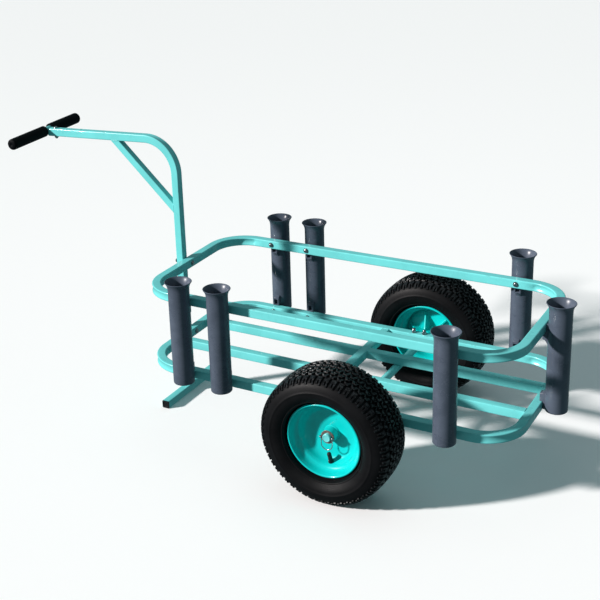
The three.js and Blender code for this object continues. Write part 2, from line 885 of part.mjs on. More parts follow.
for (const side of [-1, 1]) {
  const where = side < 0 ? "near" : "far";
  const wheel = new THREE.Group();
  wheel.applyMatrix4(
    moved(AXLE_X, side * WHEEL_Y, AXLE_Z).multiply(wheelTurn(side)),
  );
  body.add(wheel);
  // angles are counted from +X towards +Z of the cart, whichever side the wheel is on
  const angle = (degrees) => (side < 0 ? degrees : -degrees);

  // a vertex-to-vertex flat faces the ground
  const flatDown = atAngle(WHEEL_SIDES % 4 === 0 ? HALF_STEP : 0);
  piece(
    wheel,
    `tyre_${where}`,
    "tyre",
    solid(turnedShape(tyreProfile, WHEEL_SIDES), flatDown),
  );

  // valve: a straight stem that leans outwards from the drop centre of the rim
  const valveFrame = atAngle(angle(-88))
    .multiply(moved(88, 0, 15))
    .multiply(turned([0, 1, 0], -90 + 18));
  const valveHole = solid(
    new THREE.CylinderGeometry(5.6, 5.6, 20, 10).rotateX(Math.PI / 2),
    valveFrame,
  );
  piece(
    wheel,
    `rim_${where}`,
    "teal_wheel",
    cut(
      solid(turnedShape(rimProfile, WHEEL_SIDES), flatDown),
      valveHole,
    ),
  );
  piece(
    wheel,
    `valve_${where}`,
    "valve",
    solid(
      turnedShape(
        [
          [0, -4],
          [5, -4],
          [5, 5],
          [7, 5],
          [5.2, 14],
          [4, 15],
          [4, 25],
          [4.8, 26],
          [4.8, 36],
          [3.6, 38],
          [0, 38],
        ],
        10,
      ),
      valveFrame,
    ),
  );

  // hub tube with six gussets on the cart's side of the disc
  const hubTube = solid(
    turnedShape(
      closed([
        [18, HUB_IN],
        [21, HUB_IN],
        [21, HUB_OUT],
        [18, HUB_OUT],
      ]),
      20,
    ),
  );
  const gusset = (k) =>
    solid(
      prism(
        [
          [19.6, -4.4],
          [76, -4.4],
          [76, -9],
          [26, -45],
          [19.6, -45],
        ],
        [],
        4,
      ),
      turned([1, 0, 0], 90),
      moved(0, 2, 0),
      atAngle(angle(45 + 60 * k)),
    );
  piece(
    wheel,
    `hub_${where}`,
    "teal_wheel",
    joined(hubTube, ...[0, 1, 2, 3, 4, 5].map(gusset)),
  );
  const sleeveBore = 12.65 / Math.cos(Math.PI / AXLE_SIDES);
  piece(
    wheel,
    `sleeve_${where}`,
    "sleeve",
    solid(
      turnedShape(
        closed([
          [sleeveBore, HUB_IN],
          [17.4, HUB_IN],
          [17.4, HUB_OUT - 0.6],
          [sleeveBore, HUB_OUT - 0.6],
        ]),
        AXLE_SIDES,
      ),
    ),
  );

  // retaining washer, cross pin and its wire bail stay with the axle
  const washerIn = HUB_OUT + GAP;
  piece(
    wheel,
    `washer_${where}`,
    "washer",
    solid(
      turnedShape(
        closed([
          [13.4, washerIn],
          [20.5, washerIn],
          [20.5, washerIn + 2.5],
          [13.4, washerIn + 2.5],
        ]),
        18,
      ),
    ),
  );
  const clip = new THREE.Group();
  clip.position.set(AXLE_X, side * PIN_Y, AXLE_Z);
  body.add(clip);
  const pinProfile = [
    [0, -22.4],
    [4.0, -22.4],
    [4.0, -19.6],
    [2.5, -19.6],
    [2.5, 20.2],
    [1.6, 21.2],
    [0, 21.2],
  ];
  piece(
    clip,
    `axle_pin_${where}`,
    "steel",
    solid(turnedShape(pinProfile, 10), turned([0, 1, 0], 90)),
  );
  // the bail hangs from two eyes round the ends of the pin
  const BAIL_R = 17.2,
    WIRE = 1.5,
    DROP = 21;
  const eye = (x) => bar("x", 4.2, 3, [x, 0, 0], 8);
  const eyeHole = (x) => bar("x", 2.8, 6, [x, 0, 0], 8);
  const loop = solid(
    geometryOf(wireU(BAIL_R, WIRE, DROP - 3.6, 6, 6)),
    moved(0, 0, -DROP),
  );
  piece(
    clip,
    `pin_bail_${where}`,
    "wire",
    cut(
      joined(loop, eye(-BAIL_R), eye(BAIL_R)),
      eyeHole(-BAIL_R),
      eyeHole(BAIL_R),
    ),
  );
}

// ---- origin ------------------------------------------------------------------------------------
// Move the origin from under the middle of the basket to under the middle of the whole cart.
root.updateMatrixWorld(true);
const overall = new THREE.Box3().setFromObject(root, true);
body.position.x = -(overall.min.x + overall.max.x) / 2;

export default root;
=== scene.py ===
"""Looks of the beach cart: every CAD node gets a detailed piece of its own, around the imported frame."""

import math
import random

import bpy
import numpy as np
from mathutils import Matrix, Vector


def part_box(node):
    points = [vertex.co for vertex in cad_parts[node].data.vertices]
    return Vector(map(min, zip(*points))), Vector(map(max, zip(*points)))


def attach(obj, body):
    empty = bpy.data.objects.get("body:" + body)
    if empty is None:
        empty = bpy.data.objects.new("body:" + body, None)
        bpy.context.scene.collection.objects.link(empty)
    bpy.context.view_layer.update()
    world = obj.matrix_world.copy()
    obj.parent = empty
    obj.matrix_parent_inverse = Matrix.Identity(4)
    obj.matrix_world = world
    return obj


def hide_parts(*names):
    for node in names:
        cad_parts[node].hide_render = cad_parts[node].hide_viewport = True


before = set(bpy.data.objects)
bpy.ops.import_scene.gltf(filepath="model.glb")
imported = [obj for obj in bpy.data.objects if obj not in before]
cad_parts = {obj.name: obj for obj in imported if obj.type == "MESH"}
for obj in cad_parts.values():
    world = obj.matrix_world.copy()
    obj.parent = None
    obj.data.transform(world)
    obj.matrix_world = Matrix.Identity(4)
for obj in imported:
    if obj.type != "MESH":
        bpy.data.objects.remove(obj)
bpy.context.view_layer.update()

MM = 0.001
lo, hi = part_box("cross_member")
OX = (lo.x + hi.x) / 2 / MM  # x of the basket's middle, in mm
WHEEL_X = OX + 113.0
WHEEL_Z = 203.2
WHEEL_Y = 378.0
PIN_Y = 412.8


# ------------------------------------------------------------------------------ mesh building
class Shell:
    """Closed or open surfaces collected in millimetres, in the row frame."""

    def __init__(self):
        self.v, self.f, self.wear = [], [], []
        self.n = 0

    def add(self, verts, faces, wear=None):
        verts = np.asarray(verts, float).reshape(-1, 3)
        self.v.append(verts)
        self.f.extend([tuple(int(i) + self.n for i in f) for f in faces])
        self.wear.append(
            np.zeros(len(verts)) if wear is None else np.asarray(wear, float)
        )
        self.n += len(verts)
        return self

    def join(self, other, matrix=None):
        v = np.concatenate(other.v)
        if matrix is not None:
            m = np.array(matrix, float)
            v = v @ m[:3, :3].T + m[:3, 3]
            if np.linalg.det(m[:3, :3]) < 0:
                return self.add(
                    v, [tuple(reversed(f)) for f in other.f], np.concatenate(other.wear)
                )
        return self.add(v, other.f, np.concatenate(other.wear))


def grid_faces(rings, cols, close_rings=False, close_cols=True, offset=0):
    out = []
    for i in range(rings if close_rings else rings - 1):
        a, b = i * cols, ((i + 1) % rings) * cols
        for j in range(cols if close_cols else cols - 1):
            k = (j + 1) % cols
            out.append((offset + a + j, offset + a + k, offset + b + k, offset + b + j))
    return out


def flip(faces):
    return [tuple(reversed(f)) for f in faces]


def signed_volume(v, faces):
    v = np.asarray(v)
    total = 0.0
    for f in faces:
        a = v[f[0]]
        for i in range(1, len(f) - 1):
            total += np.dot(a, np.cross(v[f[i]], v[f[i + 1]]))
    return total / 6


def closed_part(shell, verts, faces, wear=None):
    """Adds a closed surface with its faces turned out."""
    verts = np.asarray(verts, float).reshape(-1, 3)
    if signed_volume(verts, faces) < 0:
        faces = flip(faces)
    return shell.add(verts, faces, wear)


def rounded_square(half, radius, corner=5, face=8):
    """Anticlockwise section and, for each point, (on a face: its face index and -1..1 place, or a corner) and wear."""
    pts, info, wear = [], [], []
    for q in range(4):
        a0 = -math.pi / 4 + q * math.pi / 2
        face_dir = np.array([math.cos(q * math.pi / 2), math.sin(q * math.pi / 2)])
        side = np.array([-face_dir[1], face_dir[0]])
        flat = half - radius
        for i in range(face + 1):  # along the face
            t = -1 + 2 * i / face
            pts.append(face_dir * half + side * flat * t)
            info.append((q, t))
            wear.append(0.0)
        centre = face_dir * flat + side * flat
        for i in range(1, corner):
            a = q * math.pi / 2 + (math.pi / 2) * i / corner
            pts.append(centre + radius * np.array([math.cos(a), math.sin(a)]))
            info.append((-1, 0.0))
            wear.append(1.0 - abs(2 * i / corner - 1) * 0.7)
    return np.array(pts), info, np.array(wear)


def circle(radius, n, phase=0.0):
    a = phase + 2 * np.pi * np.arange(n) / n
    return np.stack([radius * np.cos(a), radius * np.sin(a)], 1)


def sweep(shell, path, us, vs, sections, closed=False, wear=None, caps=True, inner=None):
    """Sections (one, or one per point) along a path with its own frame vectors. inner is a smaller section for a tube's bore."""
    path, us, vs = (np.asarray(x, float) for x in (path, us, vs))
    n = len(path)

    def surface(sec):
        sec = np.asarray(sec, float)
        if sec.ndim == 2:
            sec = np.repeat(sec[None], n, 0)
        v = (
            path[:, None, :]
            + sec[:, :, :1] * us[:, None, :]
            + sec[:, :, 1:] * vs[:, None, :]
        )
        return v.reshape(-1, 3), sec.shape[1]

    v, m = surface(sections)
    faces = grid_faces(n, m, closed)
    w = None if wear is None else np.tile(wear, n)
    if inner is None:
        if not closed and caps:
            faces += [tuple(reversed(range(m))), tuple(range((n - 1) * m, n * m))]
        return closed_part(shell, v, faces, w)
    vi, mi = surface(inner)
    assert mi == m
    faces_i = flip(grid_faces(n, m, closed, offset=len(v)))
    allv = np.concatenate([v, vi])
    allf = faces + faces_i
    if not closed:
        for base, turn in ((0, True), ((n - 1) * m, False)):
            for j in range(m):
                k = (j + 1) % m
                q = (base + j, base + k, len(v) + base + k, len(v) + base + j)
                allf.append(q if turn else tuple(reversed(q)))
    if signed_volume(allv, allf) < 0:
        allf = flip(allf)
    return shell.add(
        allv, allf, None if w is None else np.concatenate([w, np.zeros(len(vi))])
    )


def lathe(shell, profile, segments, matrix=None, phase=0.0, wear=None):
    """A closed body turned about local Z from [radius, z] points; ends on the axis, or closes on itself."""
    profile = [tuple(p) for p in profile]
    on_axis = profile[0][0] < 1e-9 and profile[-1][0] < 1e-9
    body = profile[1:-1] if on_axis else profile
    r = np.array([p[0] for p in body])
    z = np.array([p[1] for p in body])
    a = phase + 2 * np.pi * np.arange(segments) / segments
    m = len(body)
    v = np.stack(
        [
            np.outer(np.cos(a), r),
            np.outer(np.sin(a), r),
            np.repeat(z[None], segments, 0),
        ],
        2,
    ).reshape(-1, 3)
    faces = grid_faces(segments, m, True, not on_axis)
    if on_axis:
        v = np.concatenate([v, [[0, 0, profile[0][1]], [0, 0, profile[-1][1]]]])
        i0, i1 = len(v) - 2, len(v) - 1
        for i in range(segments):
            b, c = i * m, ((i + 1) % segments) * m
            faces.append((i0, b, c))
            faces.append((i1, c + m - 1, b + m - 1))
        # the grid runs profile-wise without wrap
    if matrix is not None:
        mt = np.array(matrix, float)
        v = v @ mt[:3, :3].T + mt[:3, 3]
    if signed_volume(v, faces) < 0:
        faces = flip(faces)
    return shell.add(v, faces, wear)


def fillet_profile(points, radii, steps=4):
    """Rounds the corners of an open polyline of [r, z] points. radii: one number, or one per inner point."""
    pts = [np.array(p, float) for p in points]
    out = [tuple(pts[0])]
    for i in range(1, len(pts) - 1):
        rad = radii[i - 1] if isinstance(radii, (list, tuple)) else radii
        a, b, c = pts[i - 1], pts[i], pts[i + 1]
        u, w = a - b, c - b
        lu, lw = np.linalg.norm(u), np.linalg.norm(w)
        if rad <= 0 or lu < 1e-9 or lw < 1e-9:
            out.append(tuple(b))
            continue
        u, w = u / lu, w / lw
        cosang = max(-1, min(1, float(np.dot(u, w))))
        ang = math.acos(cosang)
        if ang > math.pi - 1e-3:
            out.append(tuple(b))
            continue
        d = min(rad / math.tan(ang / 2), lu * 0.49, lw * 0.49)
        p0, p1 = b + u * d, b + w * d
        for k in range(steps + 1):
            t = k / steps
            out.append(tuple((1 - t) ** 2 * p0 + 2 * t * (1 - t) * b + t * t * p1))
    out.append(tuple(pts[-1]))
    return out


def closed_fillet(points, radius, steps=3):
    """Rounds every corner of a closed polygon."""
    pts = [np.array(p, float) for p in points]
    out = []
    n = len(pts)
    for i in range(n):
        rad = radius[i] if isinstance(radius, (list, tuple)) else radius
        a, b, c = pts[i - 1], pts[i], pts[(i + 1) % n]
        u, w = a - b, c - b
        lu, lw = np.linalg.norm(u), np.linalg.norm(w)
        u, w = u / lu, w / lw
        ang = math.acos(max(-1, min(1, float(np.dot(u, w)))))
        if rad <= 0 or ang > math.pi - 1e-3:
            out.append(tuple(b))
            continue
        d = min(rad / math.tan(ang / 2), lu * 0.49, lw * 0.49)
        p0, p1 = b + u * d, b + w * d
        for k in range(steps + 1):
            t = k / steps
            out.append(tuple((1 - t) ** 2 * p0 + 2 * t * (1 - t) * b + t * t * p1))
    return out


def rot(axis, degrees):
    return Matrix.Rotation(math.radians(degrees), 4, Vector(axis))


def shift(x, y, z):
    return Matrix.Translation((x, y, z))


def rounded_box(shell, low, high, radius, matrix=None, steps=3):
    """A box with rounded edges all round: a rounded outline in XY with rounded rims in Z."""
    low, high = np.array(low, float), np.array(high, float)
    c, h = (low + high) / 2, (high - low) / 2
    radius = min(radius, *(h * 0.95))
    rings = []
    for k in range(steps + 1):
        a = (math.pi / 2) * k / steps
        rings.append((-h[2] + radius - radius * math.cos(a), radius * math.sin(a)))
    rings = rings + [(-z, i) for z, i in reversed(rings)]
    vs, m = [], 0
    for z, grow in rings:
        hx, hy = h[0] - radius, h[1] - radius
        pts = []
        for q, (sx, sy) in enumerate(((1, 1), (-1, 1), (-1, -1), (1, -1))):
            for i in range(steps + 1):
                a = q * math.pi / 2 + (math.pi / 2) * i / steps
                pts.append(
                    (
                        sx * hx + max(grow, 1e-3) * math.cos(a),
                        sy * hy + max(grow, 1e-3) * math.sin(a),
                        z,
                    )
                )
        m = len(pts)
        vs += pts
    v = np.array(vs) + c
    faces = grid_faces(len(rings), m)
    faces += [tuple(reversed(range(m))), tuple(range((len(rings) - 1) * m, len(rings) * m))]
    if matrix is not None:
        mt = np.array(matrix, float)
        v = v @ mt[:3, :3].T + mt[:3, 3]
    return closed_part(shell, v, faces)


def weld_bead(shell, p0, p1, normal, radius=2.3, ripple=0.22, seed=1):
    """A rippled fillet bead from p0 to p1."""
    rng = random.Random(seed)
    p0, p1, nrm = (np.array(x, float) for x in (p0, p1, normal))
    length = np.linalg.norm(p1 - p0)
    d = (p1 - p0) / length
    nrm = nrm / np.linalg.norm(nrm)
    side = np.cross(d, nrm)
    n = max(10, int(length / 1.1))
    path, secs = [], []
    base = circle(1.0, 10)
    for i in range(n + 1):
        t = i / n
        end = min(1.0, 6 * t * (1 - t) + 0.25)
        wave = 1 + ripple * math.sin(t * length / 2.6 * math.pi * 2) * 0.5
        wave += 0.08 * (rng.random() - 0.5)
        path.append(p0 + d * length * t)
        secs.append(base * radius * end * wave)
    sweep(
        shell,
        path,
        np.repeat(side[None], n + 1, 0),
        np.repeat(nrm[None], n + 1, 0),
        np.array(secs),
    )


def weld_ring(shell, centre, half_u, half_v, u, v, n, radius=2.2, seed=3):
    """Beads round a square tube's end: four sides about a centre, in the plane of u and v."""
    c, u, v, n = (np.array(x, float) for x in (centre, u, v, n))
    corners = [
        c + u * half_u + v * half_v,
        c - u * half_u + v * half_v,
        c - u * half_u - v * half_v,
        c + u * half_u - v * half_v,
    ]
    for i in range(4):
        a, b = corners[i], corners[(i + 1) % 4]
        out = (a + b) / 2 - c + n * 0.01
        weld_bead(shell, a, b, out, radius, seed=seed + i)


PIECES = {}


def make(name, shell, material, body, node, sharp=38.0):
    me = bpy.data.meshes.new(name)
    v = np.concatenate(shell.v) * MM
    me.from_pydata(v.tolist(), [], shell.f)
    me.update()
    att = me.attributes.new("wear", "FLOAT", "POINT")
    att.data.foreach_set("value", np.concatenate(shell.wear).astype(np.float32))
    me.shade_smooth()
    me.set_sharp_from_angle(angle=math.radians(sharp))
    me.materials.append(material)
    o = bpy.data.objects.new(name, me)
    bpy.context.scene.collection.objects.link(o)
    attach(o, body)
    if node:
        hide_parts(node)
    PIECES[name] = o
    return o


# ------------------------------------------------------------------------------ materials
class Nodes:
    def __init__(self, name):
        self.mat = bpy.data.materials.new(name)
        self.mat.use_nodes = True
        self.t = self.mat.node_tree
        self.t.nodes.clear()
        self.out = self.new("ShaderNodeOutputMaterial")
        self.bsdf = self.new("ShaderNodeBsdfPrincipled")
        self.link(self.bsdf.outputs[0], self.out.inputs["Surface"])
        self.coord = self.new("ShaderNodeTexCoord").outputs["Object"]

    def new(self, kind, **values):
        n = self.t.nodes.new(kind)
        for k, v in values.items():
            setattr(n, k, v)
        return n

    def link(self, a, b):
        self.t.links.new(a, b)

    def put(self, socket, value):
        if isinstance(value, bpy.types.NodeSocket):
            self.link(value, socket)
        else:
            socket.default_value = value

    def set(self, **values):
        for k, v in values.items():
            self.put(self.bsdf.inputs[k.replace("_", " ")], v)

    def noise(self, scale, detail=3.0, rough=0.5, vector=None, distortion=0.0):
        n = self.new("ShaderNodeTexNoise")
        self.link(vector or self.coord, n.inputs["Vector"])
        n.inputs["Scale"].default_value = scale
        n.inputs["Detail"].default_value = detail
        n.inputs["Roughness"].default_value = rough
        n.inputs["Distortion"].default_value = distortion
        return n.outputs["Fac"]

    def voronoi(self, scale, feature="F1", vector=None):
        n = self.new("ShaderNodeTexVoronoi", feature=feature)
        self.link(vector or self.coord, n.inputs["Vector"])
        n.inputs["Scale"].default_value = scale
        return n.outputs["Distance"]

    def scaled(self, x, y, z, vector=None):
        n = self.new("ShaderNodeVectorMath", operation="MULTIPLY")
        self.link(vector or self.coord, n.inputs[0])
        n.inputs[1].default_value = (x, y, z)
        return n.outputs[0]

    def math(self, op, a, b=0.0, clamp=False):
        n = self.new("ShaderNodeMath", operation=op, use_clamp=clamp)
        self.put(n.inputs[0], a)
        self.put(n.inputs[1], b)
        return n.outputs[0]

    def ramp(self, value, low, high, to_low=0.0, to_high=1.0):
        n = self.new("ShaderNodeMapRange", clamp=True)
        n.interpolation_type = "SMOOTHSTEP"
        self.put(n.inputs["Value"], value)
        n.inputs["From Min"].default_value = low
        n.inputs["From Max"].default_value = high
        n.inputs["To Min"].default_value = to_low
        n.inputs["To Max"].default_value = to_high
        return n.outputs["Result"]

    def mix(self, fac, a, b):
        n = self.new("ShaderNodeMix", data_type="RGBA")
        self.put(n.inputs["Factor"], fac)
        for key, val in (("A", a), ("B", b)):
            s = [i for i in n.inputs if i.name == key and i.type == "RGBA"][0]
            self.put(s, val)
        return [o for o in n.outputs if o.type == "RGBA"][0]

    def attribute(self, name):
        n = self.new("ShaderNodeAttribute", attribute_name=name)
        return n.outputs["Fac"]

    def bump(self, *layers):
        """layers: (height socket, strength, distance in metres)."""
        normal = None
        for height, strength, distance in layers:
            n = self.new("ShaderNodeBump")
            n.inputs["Strength"].default_value = strength
            n.inputs["Distance"].default_value = distance
            self.put(n.inputs["Height"], height)
            if normal is not None:
                self.link(normal, n.inputs["Normal"])
            normal = n.outputs["Normal"]
        self.link(normal, self.bsdf.inputs["Normal"])
        return normal


def srgb(h):
    c = [int(h[i : i + 2], 16) / 255 for i in (1, 3, 5)]
    return [((x + 0.055) / 1.055) ** 2.4 if x > 0.04045 else x / 12.92 for x in c] + [1.0]


def tone(c, k):
    return [max(0.0, min(1.0, x * k)) for x in c[:3]] + [1.0]


def paint(name, base, rough=0.3, coat=0.35, wear=0.5):
    """Sprayed and baked enamel: orange peel, faint cloudiness, grime, and rubbed edges."""
    m = Nodes(name)
    clouds = m.noise(9.0, 4.0, 0.6)
    fine = m.noise(140.0, 3.0, 0.55)
    col = m.mix(m.ramp(clouds, 0.3, 0.7), tone(base, 0.93), tone(base, 1.06))
    col = m.mix(m.math("MULTIPLY", m.ramp(fine, 0.56, 0.75), 0.10), col, tone(base, 0.72))
    # sparse specks where sand has chipped the coat
    chips = m.voronoi(210.0)
    chip_where = m.ramp(m.noise(23.0, 2.0), 0.57, 0.66)
    chip = m.math("MULTIPLY", m.ramp(chips, 0.16, 0.10), chip_where)
    edge = m.math("MULTIPLY", m.attribute("wear"), m.ramp(m.noise(46.0, 5.0, 0.7), 0.57, 0.66))
    worn = m.math("MAXIMUM", m.math("MULTIPLY", edge, wear), m.math("MULTIPLY", chip, 0.45 * wear))
    col = m.mix(worn, col, tone(base, 0.38))
    r = m.math("ADD", m.ramp(clouds, 0.25, 0.75, rough - 0.05, rough + 0.08), m.math("MULTIPLY", worn, 0.25))
    m.set(Base_Color=col, Roughness=r, Coat_Weight=coat, Coat_Roughness=0.07)
    m.set(Metallic=0.0)
    m.bsdf.inputs["Specular IOR Level"].default_value = 0.3
    peel = m.noise(520.0, 2.0, 0.5)
    m.bump((peel, 0.10, 0.0004), (fine, 0.05, 0.0006), (m.math("SUBTRACT", 1.0, worn), 0.25, 0.0002))
    return m.mat


def moulded(name, base, light, rough=0.42, grain=1.0):
    """Moulded plastic with fine grain, flow marks and dulled patches."""
    m = Nodes(name)
    flow = m.noise(3.0, 4.0, 0.6, m.scaled(14.0, 14.0, 2.2))
    clouds = m.noise(16.0, 4.0, 0.65)
    col = m.mix(m.ramp(clouds, 0.3, 0.72), base, light)
    col = m.mix(m.math("MULTIPLY", m.ramp(flow, 0.45, 0.7), 0.25), col, tone(light, 1.25))
    dust = m.math("MULTIPLY", m.ramp(m.noise(60.0, 6.0, 0.75), 0.55, 0.8), 0.14)
    col = m.mix(dust, col, tone(light, 2.1))
    scratch = m.noise(90.0, 2.0, 0.5, m.scaled(1.0, 1.0, 0.035))
    r = m.math("ADD", m.ramp(clouds, 0.2, 0.8, rough - 0.07, rough + 0.09), m.math("MULTIPLY", m.ramp(scratch, 0.62, 0.75), 0.12))
    m.set(Base_Color=col, Roughness=r)
    m.bsdf.inputs["Specular IOR Level"].default_value = 0.3
    m.bump((m.voronoi(1500.0), 0.10 * grain, 0.0003), (scratch, 0.05, 0.0004), (m.noise(240.0, 3.0), 0.05, 0.0005))
    return m.mat


def foam(name, base):
    """Closed-cell foam rubber."""
    m = Nodes(name)
    cells = m.voronoi(950.0)
    patch = m.noise(22.0, 4.0, 0.6)
    col = m.mix(m.ramp(patch, 0.35, 0.7), base, tone(base, 1.9))
    # darkest at the cell centres, where the bump sinks into pits: painted shade in the pits
    col = m.mix(m.math("MULTIPLY", m.ramp(cells, 0.05, 0.35), 0.4), tone(base, 0.5), col)
    m.set(Base_Color=col, Roughness=m.ramp(patch, 0.2, 0.8, 0.48, 0.62))
    m.bsdf.inputs["Specular IOR Level"].default_value = 0.07
    m.bump((cells, 0.35, 0.0006), (m.noise(300.0, 3.0), 0.15, 0.0006))
    return m.mat


def tyre_rubber(name):
    """Vulcanised rubber: matt, moulding rings on the sidewall, and a paler bluish tone on the lug tops that is partly
    dust and partly a painted sky reflection.
    """
    m = Nodes(name)
    sep = m.new("ShaderNodeSeparateXYZ")
    m.link(m.coord, sep.inputs[0])
    dx = m.math("SUBTRACT", sep.outputs[0], WHEEL_X * MM)
    dz = m.math("SUBTRACT", sep.outputs[2], WHEEL_Z * MM)
    r2 = m.math("ADD", m.math("MULTIPLY", dx, dx), m.math("MULTIPLY", dz, dz))
    radius = m.math("SQRT", r2)
    rings = m.math("SINE", m.math("MULTIPLY", radius, 2 * math.pi / 0.0021))
    side = m.ramp(radius, 0.176, 0.168)
    rings = m.math("MULTIPLY", rings, side)
    patch = m.noise(13.0, 5.0, 0.65)
    grit = m.noise(420.0, 4.0, 0.7)
    base, light = [0.0030, 0.0030, 0.0035, 1], [0.0062, 0.0062, 0.0070, 1]
    col = m.mix(m.ramp(patch, 0.3, 0.75), base, light)
    # the wear attribute marks the lug tops; through noise it gives them a paler bluish colour that is partly dust and
    # partly a painted sky reflection
    lug = m.attribute("wear")
    dust = m.math("MULTIPLY", m.math("MULTIPLY", lug, m.ramp(m.noise(75.0, 5.0, 0.7), 0.44, 0.68)), 0.6)
    col = m.mix(dust, col, [0.015, 0.018, 0.022, 1])
    rough = m.math("SUBTRACT", m.ramp(grit, 0.3, 0.7, 0.42, 0.56), m.math("MULTIPLY", lug, 0.14))
    m.set(Base_Color=col, Roughness=rough)
    m.put(m.bsdf.inputs["Specular IOR Level"], m.math("ADD", 0.09, m.math("MULTIPLY", lug, m.ramp(m.noise(160.0, 3.0, 0.6), 0.45, 0.62, 0.02, 0.5))))
    m.bump((rings, 0.22, 0.0004), (grit, 0.18, 0.0006), (m.noise(1300.0, 2.0), 0.15, 0.0003))
    return m.mat


def metal(name, base, rough=0.28, stain=None, stain_amount=0.0, brushed=(1, 1, 1), scale=240.0):
    """Bare metal with fine tooling marks and optional staining."""
    m = Nodes(name)
    lines = m.noise(scale, 3.0, 0.6, m.scaled(*brushed))
    patch = m.noise(70.0, 5.0, 0.65)
    col = m.mix(m.ramp(patch, 0.3, 0.75), tone(base, 0.82), tone(base, 1.1))
    metallic = 1.0
    if stain is not None:
        amount = m.math("MULTIPLY", m.ramp(m.noise(120.0, 6.0, 0.75), 0.38, 0.62), stain_amount)
        col = m.mix(amount, col, stain)
        metallic = m.math("SUBTRACT", 1.0, m.math("MULTIPLY", amount, 0.85))
    m.set(Base_Color=col, Roughness=m.ramp(lines, 0.25, 0.75, rough - 0.08, rough + 0.14), Metallic=metallic)
    m.bump((lines, 0.12, 0.0002), (m.noise(900.0, 3.0), 0.06, 0.0002))
    return m.mat


TEAL = [0.145, 0.585, 0.585, 1.0]
TEAL_WHEEL = [0.003, 0.515, 0.50, 1.0]
M_FRAME = paint("frame_enamel", TEAL, 0.27, 0.28, 0.55)
M_WHEEL = paint("wheel_enamel", TEAL_WHEEL, 0.20, 0.22, 0.35)
M_HOLDER = moulded("holder_plastic", [0.056, 0.070, 0.097, 1], [0.078, 0.096, 0.130, 1], 0.27)
M_GRIP = foam("grip_foam", [0.0012, 0.0020, 0.0036, 1])
M_CAP = moulded("cap_plastic", [0.004, 0.004, 0.005, 1], [0.008, 0.008, 0.009, 1], 0.36, 0.6)
M_TYRE = tyre_rubber("tyre_rubber")
M_STEEL = metal("stainless", [0.36, 0.37, 0.385, 1], 0.15)
M_NUT = metal("zinc_nut", [0.46, 0.46, 0.48, 1], 0.24, [0.10, 0.07, 0.05, 1], 0.25)
M_WASHER = metal("brown_washer", [0.50, 0.40, 0.37, 1], 0.26, [0.085, 0.030, 0.020, 1], 0.95)
M_SLEEVE = metal("bronze_sleeve", [0.20, 0.12, 0.07, 1], 0.4, [0.02, 0.015, 0.012, 1], 0.6)
M_WIRE = metal("spring_wire", [0.52, 0.53, 0.55, 1], 0.17, [0.05, 0.045, 0.04, 1], 0.3)
M_VALVE = moulded("valve_rubber", [0.004, 0.004, 0.005, 1], [0.009, 0.009, 0.01, 1], 0.5, 0.6)
M_BORE = moulded("dark_bore", [0.02, 0.022, 0.028, 1], [0.03, 0.032, 0.04, 1], 0.5)

# ------------------------------------------------------------------------------ basket hoops
L, W, RC, RAIL = 1220.0, 564.0, 112.0, 28.0
UP_Z, LOW_Z = 490.0 - 14.0, 244.0 - 14.0


def hoop_path():
    """Closed centre line, outward vectors and how far into a bend each point is (0 straight, 1 bent)."""
    hx, hy = L / 2 - RAIL / 2, W / 2 - RAIL / 2
    pts, outs, bend = [], [], []

    def straight(a, b, out, step=26.0):
        a, b = np.array(a), np.array(b)
        n = max(2, int(np.linalg.norm(b - a) / step))
        for i in range(1, n):
            pts.append(a + (b - a) * i / n)
            outs.append(np.array(out, float))
            bend.append(0.0)

    def arc(cx, cy, start):
        n = 34
        for i in range(n + 1):
            t = i / n
            a = math.radians(start + 90 * t)
            d = np.array([math.cos(a), math.sin(a)])
            pts.append(np.array([cx, cy]) + RC * d)
            outs.append(d)
            e = min(t, 1 - t) * (RC * math.pi / 2)  # mm into the bend
            bend.append(float(np.clip(e / 9.0, 0, 1)))

    arc(hx - RC, -hy + RC, -90)
    straight((hx, -hy + RC), (hx, hy - RC), (1, 0))
    arc(hx - RC, hy - RC, 0)
    straight((hx - RC, hy), (-hx + RC, hy), (0, 1))
    arc(-hx + RC, hy - RC, 90)
    straight((-hx, hy - RC), (-hx, -hy + RC), (-1, 0))
    arc(-hx + RC, -hy + RC, 180)
    straight((-hx + RC, -hy), (hx - RC, -hy), (0, -1))
    return np.array(pts), np.array(outs), np.array(bend)


SEC, SEC_INFO, SEC_WEAR = rounded_square(RAIL / 2, 3.2, 5, 8)


def hoop(z):
    pts, outs, bend = hoop_path()
    n = len(pts)
    path = np.concatenate([pts + [[OX, 0]], np.full((n, 1), z)], 1)
    us = np.concatenate([outs, np.zeros((n, 1))], 1)
    vs = np.tile([0.0, 0.0, 1.0], (n, 1))
    secs = np.repeat(SEC[None], n, 0)
    for j, (q, t) in enumerate(SEC_INFO):
        if q == 0:  # outer face draws in over a bend
            secs[:, j, 0] -= 3.0 * bend * (1 - abs(t) ** 2.2)
        if q == 2:  # inner face folds in, with a harder crease
            k = np.clip(bend * 1.25, 0, 1) ** 1.4
            secs[:, j, 0] += 4.6 * k * (1 - abs(t) ** 1.7)
        if q in (1, 3):  # top and bottom swell a little towards the inside of the bend
            secs[:, j, 1] += (0.10 if q == 1 else -0.10) * bend * (1 - t * t)
    s = Shell()
    sweep(s, path, us, vs, secs, closed=True, wear=SEC_WEAR)
    return s


def tube_between(s, a, b, half, radius, u, inner=None, steps=2, face=2):
    """A straight square tube from a to b; u is one side direction."""
    a, b, u = (np.array(x, float) for x in (a, b, u))
    d = (b - a) / np.linalg.norm(b - a)
    v = np.cross(d, u)
    sec, _, wear = rounded_square(half, radius, 5, face)
    path = np.array([a + (b - a) * i / (steps - 1) for i in range(steps)])
    inn = None if inner is None else rounded_square(inner, max(radius - (half - inner), 0.6), 5, face)[0]
    sweep(s, path, np.tile(u, (steps, 1)), np.tile(v, (steps, 1)), sec, wear=wear, inner=inn)


upper = hoop(UP_Z)
lower = hoop(LOW_Z)
